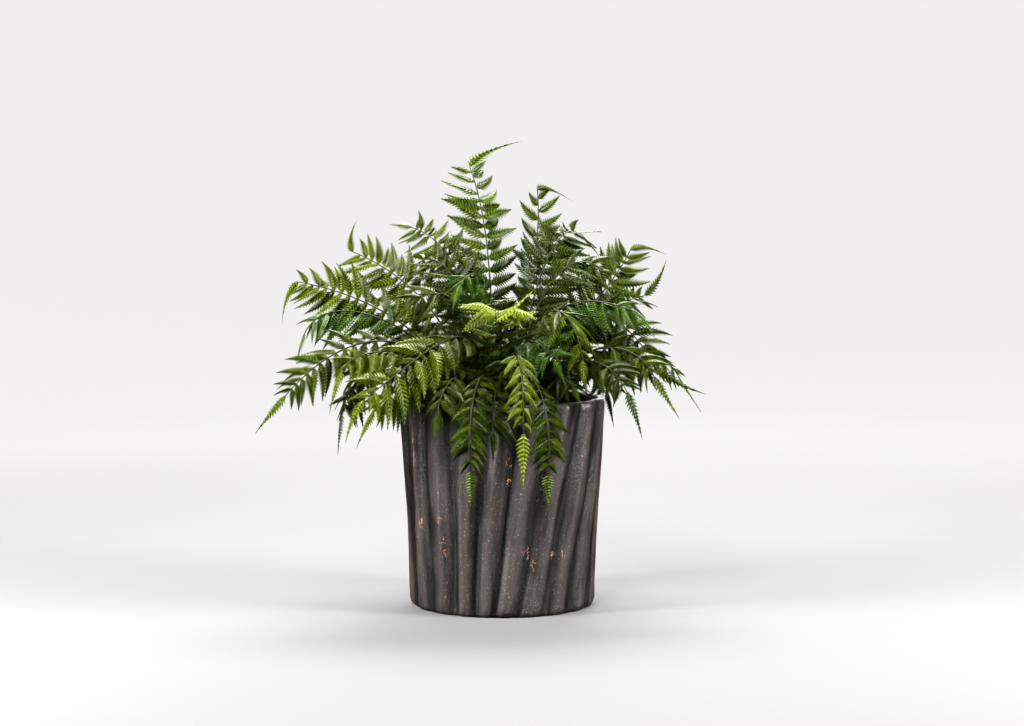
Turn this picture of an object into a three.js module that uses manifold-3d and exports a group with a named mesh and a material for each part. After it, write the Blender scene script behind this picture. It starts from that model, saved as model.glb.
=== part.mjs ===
// A potted leatherleaf fern: a glazed pot with slanting flutes, the soil that fills it, and the fronds
// that stand in the soil. Millimetres, +Z up. The origin is the centre of the pot's flat foot, and -Y
// is the front.
import * as THREE from "three";
import { mergeVertices } from "three/addons/utils/BufferGeometryUtils.js";
import Module from "manifold-3d";

const wasm = await Module();
wasm.setup();
const { clamp, degToRad, lerp, smoothstep } = THREE.MathUtils;
const UPWARD = new THREE.Vector3(0, 0, 1);
const MERGED = 1e-3; // points closer than this are one corner of a solid

// Pot
const POT_HEIGHT = 205;
const FLOOR_THICKNESS = 14;
const RIM_ROUNDING = 3;
// Height and mean radius of the outside, from the foot to the rim
const POT_PROFILE = [
  [0, 85.5],
  [5, 88.8],
  [63, 90.3],
  [100, 92.6],
  [141, 96],
  [180, 98.8],
  [POT_HEIGHT - RIM_ROUNDING, 99.8],
  [POT_HEIGHT, 98.2],
];
// Height and radius of the inside, from the floor to the rim
const INNER_PROFILE = [
  [FLOOR_THICKNESS, 80],
  [100, 83],
  [POT_HEIGHT, 90.8],
];
const INNER_COLUMNS = 36;

// The pot's flutes, which are cut by hand and lean more on the right of the front than on the left
const FLUTES = 18;
const FLUTE_DEPTH = 4.4;
const DEPTH_VARIATION = 0.22; // share of the depth by which the ridges differ
const VARIATION_STEP = 2.4; // radians of that variation from one ridge to the next
const RIDGE_ROUNDNESS = 0.8; // power of the ridge's sine: lower is broader, with a sharper groove
const RIDGE_MIDDLE = 0.55; // share of a ridge that lies inside the mean radius
const COLUMNS_PER_FLUTE = 4;
const FIRST_FLUTE = degToRad(-100); // puts a ridge at the front
const FLUTE_LEAN = 15; // degrees that a flute turns from the rim to the foot, on average
const LEAN_SWING = 12; // degrees more than that on the right, and less on the left
const LEAN_RIPPLE = 4; // degrees by which it differs three times round the pot
const LEAN_CENTRE = 0.35; // radians past the front where the swing starts

// Soil
const SOIL_EDGE = 184; // height where it meets the wall
const SOIL_MOUND = 4; // how much higher its middle is
const SOIL_SEGMENTS = 24;
const SEAT_GAP = 0.5;
const HOLE_CLEARANCE = 0.35;
const HOLE_TOP = 8; // how far a hole's solid stands out of the soil

// Stems
const ROOT_DEPTH = 22; // length of stem that stands in the soil
const FOOT_RING = 3; // distance of the first ring above the soil
const STEM_RADIUS = 1.6;
const STEM_TIP_RADIUS = 0.9;
const STIPE_SEGMENTS = 3; // bare segments between the soil and the first leaflet
const LEAF_START = 0.36; // share of the stem that is bare
const FACING_SPAN = [0.1, 0.6]; // shares of the stem between which the blade turns to the front

// Leaflets
const FEWEST_LEAFLETS = 9;
const MOST_LEAFLETS = 17;
const LEAFLET_SPACING = 9.2;
const CROWDING = 0.4; // share by which the spacing is wider at the first leaflet, and closer at the tip
const LEAFLET_SIZES = [[0, 0.72], [0.2, 1], [0.625, 1], [1, 0.4]]; // share of the stem, share of length
const LEAFLET_ANGLES = [74, 56]; // degrees to the stem, at its start and at its end
const LEAFLET_HALF_WIDTH = 0.8; // half width before the length adds to it
const LEAFLET_WIDENING = 0.12;
const LEAFLET_THICKNESS = 1.3;
const LEAFLET_CUP = 0.9; // how far a leaflet's edges lie below its rib
const LEAFLET_SAG = 0.1; // share of its length by which a leaflet's tip sinks
const LEAFLET_SICKLE = 0.1; // share by which the tip bends towards the frond's tip
const TWIST_DONE = 0.45; // share of its length where a leaflet has made its whole twist
const END_HALF_WIDTH = 5.2;
const END_WIDENING = 0.05;
const STEEPEST_DROOP = degToRad(68);
// Between what values the leaflets differ by chance
const CHANCES = {
  hang: [-7, 7],
  angle: [-4, 4],
  size: [0.9, 1.1],
  curl: [0.058, 0.198],
};
// A blade's edge as [share of its length, share of its half width] from the foot to the tip, with saw
// teeth and a drawn-out tip, and the shares of the length where its rib has a point
const LEAFLET_SHAPE = { edge: [[0.3, 1], [0.44, 0.66], [0.62, 0.76]], rib: [0.46] };
const END_SHAPE = {
  edge: [[0.1, 1], [0.2, 0.7], [0.34, 0.86], [0.45, 0.46], [0.58, 0.54]],
  rib: [0.22, 0.5],
};

// How the leaflets keep clear of what stands near them
const CLEARANCE = 2.4; // from a leaflet's middle surface to the other fronds
const BESIDE_CLEARANCE = 0.8; // to its own frond's other leaflets
const OWN_CLEARANCE = 1.2; // to its own stem
const RIM_CLEARANCE = 2; // to the rim, and to the soil
const WALL_CLEARANCE = 4; // to the inner wall
const FREE_FROM = 0.24; // share of the leaflet's length where the test on its own stem starts
const TESTED_FROM = 0.08; // and where the others start
const BLADE_FROM = 0.04; // share of a leaflet that stands in the way where that starts
const SAMPLE_STEP = 0.08; // share of the length between the rows of tested places
const LAST_SAMPLE = 0.95;
const SWINGS = [0, 10, -10, 20, -20, 32, -32, 46, -46]; // degrees about the stem, in the order tried
const SHORTENINGS = [1, 0.85, 0.7, 0.58];

// The generator of the chances
const SEED_STEP = 977;
const MULTIPLIER = 1664525;
const INCREMENT = 1013904223;
const MODULUS = 2 ** 32;

// The places that each frond passes, as [distance from the pot's axis, height], in the upright plane
// at its azimuth (0 is +X, -90 is the front): root distance, knee, crest, end of the stem, and tip of
// the end leaflet, which may have a third value for its distance out of that plane. face turns the
// blade's upper side to the front, hang lowers the leaflets on both sides, twist turns each leaflet's
// upper side to the frond's tip, and length is the longest leaflet's. Angles are in degrees.
const FRONDS = {
  top_centre: { azimuth: 108, root: 8, knee: [31, 268], crest: [52, 354],
    end: [110, 432], tip: [100, 456, 52], hang: 4, length: 38 },
  top_right: { azimuth: 66, root: 14, knee: [44, 266], crest: [78, 338],
    end: [86, 408], tip: [98, 394, 34], face: 8, hang: 20, length: 32 },
  arch_right: { azimuth: 44, root: 20, knee: [32, 268], crest: [66, 345],
    end: [112, 362], tip: [142, 334], face: 34, hang: 18, length: 36 },
  upper_right: { azimuth: 22, root: 28, knee: [56, 250], crest: [98, 296],
    end: [138, 348], tip: [172, 342, 12], face: 70, hang: 4, length: 38 },
  far_right: { azimuth: 36, root: 34, knee: [70, 248], crest: [124, 284],
    end: [180, 300], tip: [208, 336], face: 56, hang: 6, length: 30 },
  right_long: { azimuth: -8, root: 34, knee: [56, 262], crest: [100, 284],
    end: [150, 236], tip: [200, 209], face: 66, hang: 4, length: 36 },
  right_drooping: { azimuth: -25, root: 44, knee: [70, 238], crest: [118, 256],
    end: [160, 230], tip: [186, 190], face: 40, hang: 10, length: 32 },
  right_low: { azimuth: -38, root: 50, knee: [72, 232], crest: [112, 244],
    end: [150, 217], tip: [168, 172], face: 36, hang: 10, length: 28 },
  upper_left: { azimuth: 160, root: 20, knee: [50, 252], crest: [92, 306],
    end: [160, 346], tip: [152, 378, -6], face: 66, hang: 0, length: 38 },
  top_left: { azimuth: 132, root: 20, knee: [42, 276], crest: [78, 338],
    end: [140, 370], tip: [176, 372], face: 56, hang: 8, length: 34 },
  far_left: { azimuth: 174, root: 32, knee: [72, 252], crest: [130, 294],
    end: [203, 317], tip: [220, 272], face: 66, hang: 0, length: 36 },
  left_arch: { azimuth: 186, root: 36, knee: [68, 248], crest: [138, 288],
    end: [194, 268], tip: [202, 238], face: 30, hang: 34, length: 32 },
  left_long: { azimuth: 200, root: 44, knee: [70, 240], crest: [134, 262],
    end: [220, 212], tip: [250, 176], face: 44, hang: 10, length: 32 },
  left_low: { azimuth: 212, root: 50, knee: [74, 236], crest: [132, 254],
    end: [178, 238], tip: [192, 196], face: 24, hang: 30, length: 30 },
  front_left_long: { azimuth: 224, root: 20, knee: [42, 262], crest: [100, 254],
    end: [180, 212], tip: [202, 172], face: 30, hang: 12, length: 40 },
  left_under: { azimuth: 193, root: 56, knee: [84, 222], crest: [128, 232],
    end: [160, 192], tip: [164, 150], face: 24, hang: 20, length: 30 },
  front_left_low: { azimuth: 217, root: 56, knee: [76, 218], crest: [112, 222],
    end: [152, 198], tip: [172, 164], face: 20, hang: 20, length: 30 },
  front_rim_centre: { azimuth: -94, root: 58, knee: [78, 216], crest: [103, 211],
    end: [119, 180], tip: [122, 150], hang: 16, length: 28, twist: 20 },
  front_rim_left: { azimuth: 240, root: 48, knee: [68, 226], crest: [100, 226],
    end: [122, 196], tip: [128, 168], face: 10, hang: 20, length: 30 },
  front_hanging_left: { azimuth: -103, root: 50, knee: [72, 230], crest: [118, 214],
    end: [132, 146], tip: [133, 110], hang: 6, length: 21 },
  front_hanging_pale: { azimuth: -82, root: 44, knee: [74, 246], crest: [122, 244],
    end: [143, 182], tip: [141, 128], hang: 30, length: 25 },
  front_hanging_right: { azimuth: -70, root: 54, knee: [78, 226], crest: [116, 206],
    end: [128, 142], tip: [130, 106], hang: 10, length: 21 },
  centre_pale: { azimuth: -92, root: 20, knee: [42, 262], crest: [84, 292],
    end: [130, 288], tip: [146, 322, -42], hang: -14, length: 38, twist: 50 },
  front_face: { azimuth: -60, root: 16, knee: [30, 248], crest: [62, 262],
    end: [98, 246], tip: [120, 222], face: 34, hang: 6, length: 36, twist: 36 },
  centre_blue: { azimuth: -122, root: 14, knee: [26, 276], crest: [44, 322],
    end: [76, 318], tip: [90, 290], face: 10, hang: 38, length: 32 },
  front_right_arch: { azimuth: -22, root: 24, knee: [38, 262], crest: [74, 298],
    end: [140, 290], tip: [158, 264], face: 20, hang: 36, length: 34 },
  front_right: { azimuth: -46, root: 22, knee: [36, 264], crest: [76, 292],
    end: [110, 246], tip: [116, 208], face: 20, hang: 30, length: 36 },
  back_right: { azimuth: 8, root: 48, knee: [72, 232], crest: [128, 250],
    end: [176, 224], tip: [200, 186], face: 20, hang: 14, length: 32 },
  back_right_low: { azimuth: 52, root: 52, knee: [80, 226], crest: [132, 238],
    end: [176, 198], tip: [188, 160], hang: 16, length: 32 },
  back_centre: { azimuth: 88, root: 34, knee: [64, 246], crest: [122, 290],
    end: [182, 284], tip: [212, 254], hang: 10, length: 36 },
  back_centre_low: { azimuth: 104, root: 56, knee: [84, 224], crest: [134, 226],
    end: [166, 176], tip: [172, 134], hang: 14, length: 32 },
  back_left: { azimuth: 120, root: 44, knee: [72, 238], crest: [134, 268],
    end: [190, 240], tip: [214, 206], hang: 12, length: 34 },
  back_left_low: { azimuth: 148, root: 52, knee: [80, 230], crest: [136, 244],
    end: [184, 208], tip: [202, 170], hang: 16, length: 32 },
  heart_left: { azimuth: -160, root: 12, knee: [26, 250], crest: [50, 300],
    end: [96, 296], tip: [118, 270], face: 26, hang: 20, length: 34 },
  heart_right: { azimuth: 0, root: 16, knee: [26, 270], crest: [60, 330],
    end: [104, 322], tip: [124, 294], face: 40, hang: 16, length: 34 },
  heart_low_left: { azimuth: -129, root: 34, knee: [48, 224], crest: [72, 238],
    end: [98, 226], tip: [114, 204], face: 20, hang: 16, length: 30, twist: 8 },
  heart_low_right: { azimuth: -30, root: 32, knee: [46, 226], crest: [72, 242],
    end: [100, 232], tip: [116, 210], face: 20, hang: 16, length: 30, twist: 24 },
  heart_low_back: { azimuth: 78, root: 26, knee: [40, 232], crest: [70, 262],
    end: [104, 262], tip: [122, 240], hang: 12, length: 32 },
  heart_back: { azimuth: 150, root: 10, knee: [26, 262], crest: [60, 326],
    end: [104, 330], tip: [128, 306], face: 40, hang: 14, length: 34 },
  heart_low_front: { azimuth: -84, root: 32, knee: [42, 226], crest: [60, 244],
    end: [88, 236], tip: [102, 218], hang: 18, length: 26 },
  front_rim_right: { azimuth: -54, root: 57, knee: [76, 217], crest: [94, 229],
    end: [114, 222], tip: [127, 202], face: 20, hang: 14, length: 24 },
};

const FINISHES = {
  glaze: { color: 0x35302f, roughness: 0.42, metalness: 0.25 },
  soil: { color: 0x241a12, roughness: 1, metalness: 0 },
  leaf: { color: 0x4f7a22, roughness: 0.6, metalness: 0 },
};

// A small seeded generator, so that every run grows the same plant.
function seededRandom(seed) {
  let state = seed >>> 0;
  return () => {
    state = (Math.imul(state, MULTIPLIER) + INCREMENT) >>> 0;
    return state / MODULUS;
  };
}

// The value at x of a line through the points of a table.
function interpolate(table, x) {
  const last = table.length - 1;
  const above = table.findIndex(([at]) => at >= x);
  const i = clamp(above < 0 ? last : above, 1, last);
  const [x0, y0] = table[i - 1];
  const [x1, y1] = table[i];
  return y0 + ((y1 - y0) * (x - x0)) / (x1 - x0);
}

// Points and triangles that are gathered into one closed BufferGeometry.
class Skin {
  constructor() {
    this.points = [];
    this.faces = [];
  }

  point(p) {
    this.points.push(p.clone());
    return this.points.length - 1;
  }

  triangle(a, b, c) {
    if (a !== b && b !== c && c !== a) this.faces.push(a, b, c);
  }

  quad(a, b, c, d, turned = false) {
    const [second, fourth] = turned ? [d, b] : [b, d];
    this.triangle(a, second, c);
    this.triangle(a, c, fourth);
  }

  geometry() {
    const geometry = new THREE.BufferGeometry().setFromPoints(this.points);
    geometry.setIndex(this.faces);
    geometry.computeVertexNormals();
    return geometry;
  }
}

// How far, in radians, a flute has turned from the rim down to a height.
function fluteTurn(angle, z) {
  const front = angle + Math.PI / 2;
  const swing = LEAN_SWING * Math.sin(front - LEAN_CENTRE);
  const ripple = LEAN_RIPPLE * Math.sin(3 * front);
  return degToRad(FLUTE_LEAN + swing + ripple) * (1 - z / POT_HEIGHT);
}

// One ridge for each flute, round on top, with a sharper groove beside it.
function fluteRelief(flute, part) {
  const depth = FLUTE_DEPTH * (1 + DEPTH_VARIATION * Math.sin(flute * VARIATION_STEP));
  return depth * (Math.sin(Math.PI * part) ** RIDGE_ROUNDNESS - RIDGE_MIDDLE);
}

// One ring of points round the axis at a height.
function ring(skin, count, z, place) {
  return Array.from({ length: count }, (_, i) => {
    const [radius, angle] = place(i, (2 * Math.PI * i) / count);
    return skin.point(new THREE.Vector3(radius * Math.cos(angle), radius * Math.sin(angle), z));
  });
}

function outerRing(skin, z) {
  return ring(skin, FLUTES * COLUMNS_PER_FLUTE, z, (i, share) => {
    const rimAngle = FIRST_FLUTE + share;
    const flute = Math.floor(i / COLUMNS_PER_FLUTE);
    const relief = fluteRelief(flute, (i % COLUMNS_PER_FLUTE) / COLUMNS_PER_FLUTE);
    return [interpolate(POT_PROFILE, z) + relief, rimAngle - fluteTurn(rimAngle, z)];
  });
}

function innerRing(skin, z) {
  return ring(skin, INNER_COLUMNS, z, (_, share) => [interpolate(INNER_PROFILE, z), FIRST_FLUTE + share]);
}

// Closes the band between two rings that run the same way round, with the lower or outer one first.
function band(skin, first, second) {
  const count = Math.max(first.length, second.length);
  const at = (loop, i) => loop[Math.floor((i * loop.length) / count) % loop.length];
  for (let i = 0; i < count; i++) {
    skin.quad(at(first, i), at(first, i + 1), at(second, i + 1), at(second, i));
  }
}

// Closes a ring with triangles round a point on the axis, facing down or up.
function fan(skin, loop, z, up) {
  const centre = skin.point(new THREE.Vector3(0, 0, z));
  loop.forEach((a, i) => {
    const b = loop[(i + 1) % loop.length];
    if (up) skin.triangle(centre, a, b);
    else skin.triangle(centre, b, a);
  });
}

function potGeometry() {
  const skin = new Skin();
  const outside = POT_PROFILE.map(([z]) => outerRing(skin, z));
  const inside = INNER_PROFILE.toReversed().map(([z]) => innerRing(skin, z));
  const rings = [...outside, ...inside];
  rings.slice(1).forEach((next, i) => band(skin, rings[i], next));
  fan(skin, rings[0], 0, false);
  fan(skin, rings.at(-1), FLOOR_THICKNESS, true);
  return skin.geometry();
}

// The soil's height at a distance from the axis.
function soilSurface(r) {
  const share = Math.min(1, r / interpolate(INNER_PROFILE, SOIL_EDGE));
  return SOIL_EDGE + SOIL_MOUND * (1 - share * share);
}

// The soil fills the pot from the floor up, with a hole for each stem.
function soilGeometry(holes) {
  const low = FLOOR_THICKNESS + SEAT_GAP;
  const heights = [low, ...INNER_PROFILE.slice(1, -1).map(([z]) => z), SOIL_EDGE];
  const profile = [
    new THREE.Vector2(0, low),
    ...heights.map((z) => new THREE.Vector2(interpolate(INNER_PROFILE, z) - SEAT_GAP, z)),
    new THREE.Vector2(0, SOIL_EDGE + SOIL_MOUND),
  ];
  const lathe = new THREE.LatheGeometry(profile, SOIL_SEGMENTS).rotateX(Math.PI / 2);
  lathe.deleteAttribute("uv");
  return geometryOf(wasm.Manifold.difference([solidOf(lathe), ...holes.map(solidOf)]));
}

function solidOf(geometry) {
  const bare = geometry.clone();
  bare.deleteAttribute("normal");
  const merged = mergeVertices(bare, MERGED);
  return new wasm.Manifold(
    new wasm.Mesh({
      numProp: 3,
      vertProperties: new Float32Array(merged.attributes.position.array),
      triVerts: new Uint32Array(merged.index.array),
    }),
  );
}

function geometryOf(solid) {
  const mesh = solid.getMesh();
  const places = new Float32Array(mesh.numVert * 3);
  for (let i = 0; i < mesh.numVert; i++) {
    places.set(mesh.vertProperties.subarray(i * mesh.numProp, i * mesh.numProp + 3), i * 3);
  }
  const geometry = new THREE.BufferGeometry();
  geometry.setAttribute("position", new THREE.BufferAttribute(places, 3));
  geometry.setIndex(new THREE.BufferAttribute(new Uint32Array(mesh.triVerts), 1));
  geometry.computeVertexNormals();
  return geometry;
}

// A frond's stem: a cubic through its root, knee, crest and end, with a straight foot in the soil.
class Stem {
  constructor(row) {
    this.facing = degToRad(row.face ?? 0);
    const azimuth = degToRad(row.azimuth);
    this.outward = new THREE.Vector3(Math.cos(azimuth), Math.sin(azimuth), 0);
    this.sideways = new THREE.Vector3(Math.sin(azimuth), -Math.cos(azimuth), 0);
    const root = this.place([row.root, soilSurface(row.root)]);
    const [knee, crest, end] = [row.knee, row.crest, row.end].map((p) => this.place(p));
    // These two handles make the cubic pass the knee at one third and the crest at two thirds
    const rising = this.handle(root, knee, crest, end);
    const falling = this.handle(end, crest, knee, root);
    this.curve = new THREE.CubicBezierCurve3(root, rising, falling, end);
    this.length = this.curve.getLength();
  }

  handle(near, first, second, far) {
    return near.clone().multiplyScalar(-5 / 6)
      .addScaledVector(first, 3)
      .addScaledVector(second, -3 / 2)
      .addScaledVector(far, 1 / 3);
  }

  // A point in the stem's upright plane, or aside from it.
  place([r, z, aside = 0]) {
    const inPlane = this.outward.clone().multiplyScalar(r).setZ(z);
    return inPlane.addScaledVector(this.sideways, aside);
  }

  // The frame at a distance along the stem; below zero it runs straight on into the soil.
  frame(distance) {
    const share = clamp(distance / this.length, 0, 1);
    const along = this.curve.getTangentAt(share);
    const point = this.curve.getPointAt(share);
    if (distance < 0) point.addScaledVector(along, distance);
    const roll = this.facing * Math.sign(this.outward.x) * smoothstep(share, ...FACING_SPAN);
    const across = this.sideways.clone().applyAxisAngle(along, roll);
    const up = across.clone().cross(along);
    const radius = lerp(STEM_RADIUS, STEM_TIP_RADIUS, share);
    return { point, along, across, up, radius };
  }
}

// One leaflet: its places are given by a share of its length and of its half width.
class Leaflet {
  constructor(fields) {
    Object.assign(this, fields);
  }

  at(along, across, lift = 0) {
    const bend = this.length * along * along;
    const turn = this.twist * Math.min(1, along / TWIST_DONE);
    const aside = this.halfWidth * across;
    const above = lift - Math.abs(across) * LEAFLET_CUP;
    const forward = bend * this.sickle + aside * Math.cos(turn) + above * Math.sin(turn);
    const upward = above * Math.cos(turn) - aside * Math.sin(turn) - bend * this.curl;
    return this.foot.clone()
      .addScaledVector(this.direction, this.length * along)
      .addScaledVector(this.forward, forward)
      .addScaledVector(this.up, upward)
      .addScaledVector(UPWARD, -bend * LEAFLET_SAG);
  }

  widthAt(along) {
    return interpolate([[0, this.footWidth], ...this.shape.edge, [1, 0]], along);
  }

  // Places spread over the blade from a share of its length on, for testing what it passes.
  samples(from) {
    const found = [this.at(1, 0)];
    for (let along = from; along < LAST_SAMPLE; along += SAMPLE_STEP) {
      const half = this.widthAt(along);
      for (const across of [-half, 0, half]) found.push(this.at(along, across));
    }
    return found;
  }

  // The same part of the blade as flat triangles.
  triangles(from) {
    const corners = this.shape.edge.map(([along]) => along).filter((along) => along > from);
    const pairs = [from, ...corners, 1].map((along) => {
      const half = this.widthAt(along);
      return [this.at(along, -half), this.at(along, half)];
    });
    return pairs.slice(1).flatMap(([c, d], i) => {
      const [a, b] = pairs[i];
      return [new THREE.Triangle(a, b, d), new THREE.Triangle(a, d, c)];
    });
  }

  // The blade's two faces, which open out of a stem between two of its rings. side names the point of
  // the rings where each edge starts, back first, and mirrored turns the faces over.
  addTo(skin, behind, before, [backSide, frontSide], mirrored) {
    const tip = [skin.point(this.at(1, 0)), 1];
    const edgeFrom = (foot, side) => {
      const places = this.shape.edge.map(([along, across]) => [this.at(along, side * across), along]);
      return [[foot, 0], ...places.map(([place, along]) => [skin.point(place), along]), tip];
    };
    const back = edgeFrom(behind[backSide], -1);
    const front = edgeFrom(before[frontSide], 1);
    for (const [face, sign] of [["top", 1], ["bottom", -1]]) {
      const turned = mirrored === sign > 0;
      const lift = (sign * LEAFLET_THICKNESS) / 2;
      const rib = [...this.shape.rib.map((along) => [skin.point(this.at(along, 0, lift)), along]), tip];
      stitch(skin, turned, back, [[behind[face], 0], ...rib]);
      stitch(skin, !turned, front, [[before[face], 0], ...rib]);
      if (turned) skin.triangle(behind[face], rib[0][0], before[face]);
      else skin.triangle(behind[face], before[face], rib[0][0]);
    }
  }
}

// Fills the strip between a blade's edge and its rib, both given as [point, share of the length].
function stitch(skin, turned, edge, rib) {
  let [i, j] = [0, 0];
  while (i < edge.length - 1 || j < rib.length - 1) {
    const corners = [edge[i][0], rib[j][0]];
    const nextEdge = edge[i + 1]?.[1] ?? Infinity;
    const nextRib = rib[j + 1]?.[1] ?? Infinity;
    if (nextEdge <= nextRib) i += 1;
    else j += 1;
    corners.push(nextEdge <= nextRib ? edge[i][0] : rib[j][0]);
    if (turned) corners.reverse();
    skin.triangle(...corners);
  }
}

// What stands in a leaflet's way: other leaflets, and stretches of stem.
class Thicket {
  constructor() {
    this.things = [];
  }

  addLeaflet(leaflet, owner) {
    const shapes = leaflet.triangles(BLADE_FROM);
    this.add({ owner, isBlade: true, shapes, samples: leaflet.samples(BLADE_FROM) });
  }

  addStretch(from, to, owner) {
    const samples = [0, 0.33, 0.67, 1].map((share) => from.clone().lerp(to, share));
    this.add({ owner, isBlade: false, shapes: [new THREE.Line3(from, to)], samples });
  }

  add(thing) {
    const sphere = new THREE.Sphere().setFromPoints(thing.samples);
    this.things.push({ ...thing, sphere });
  }

  clearOf(leaflet, owner) {
    const part = (from, gap) => ({ samples: leaflet.samples(from), shapes: leaflet.triangles(from), gap });
    const whole = part(TESTED_FROM, CLEARANCE);
    const free = part(FREE_FROM, OWN_CLEARANCE);
    const beside = { ...whole, gap: BESIDE_CLEARANCE };
    const sphere = new THREE.Sphere().setFromPoints(whole.samples);
    for (const thing of this.things) {
      const own = thing.isBlade ? beside : free;
      const { samples, shapes, gap } = thing.owner === owner ? own : whole;
      const reach = sphere.radius + thing.sphere.radius + gap;
      if (sphere.center.distanceTo(thing.sphere.center) > reach) continue;
      if (nearer(samples, thing.shapes, gap) || nearer(thing.samples, shapes, gap)) return false;
    }
    return whole.samples.every(clearOfPot);
  }
}

// Whether any of the sample points lies nearer than the gap to any of the shapes.
function nearer(samples, shapes, gap) {
  const nearest = new THREE.Vector3();
  return shapes.some((shape) =>
    samples.some((p) => {
      if (shape instanceof THREE.Line3) shape.closestPointToPoint(p, true, nearest);
      else shape.closestPointToPoint(p, nearest);
      return nearest.distanceTo(p) < gap;
    }),
  );
}

function clearOfPot(p) {
  const r = Math.hypot(p.x, p.y);
  const innerRim = interpolate(INNER_PROFILE, POT_HEIGHT);
  if (p.z > POT_HEIGHT + RIM_CLEARANCE) return true;
  if (r > innerRim) return r > interpolate(POT_PROFILE, Math.max(0, p.z)) + FLUTE_DEPTH;
  return r < innerRim - WALL_CLEARANCE && p.z > soilSurface(r) + RIM_CLEARANCE;
}

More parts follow.
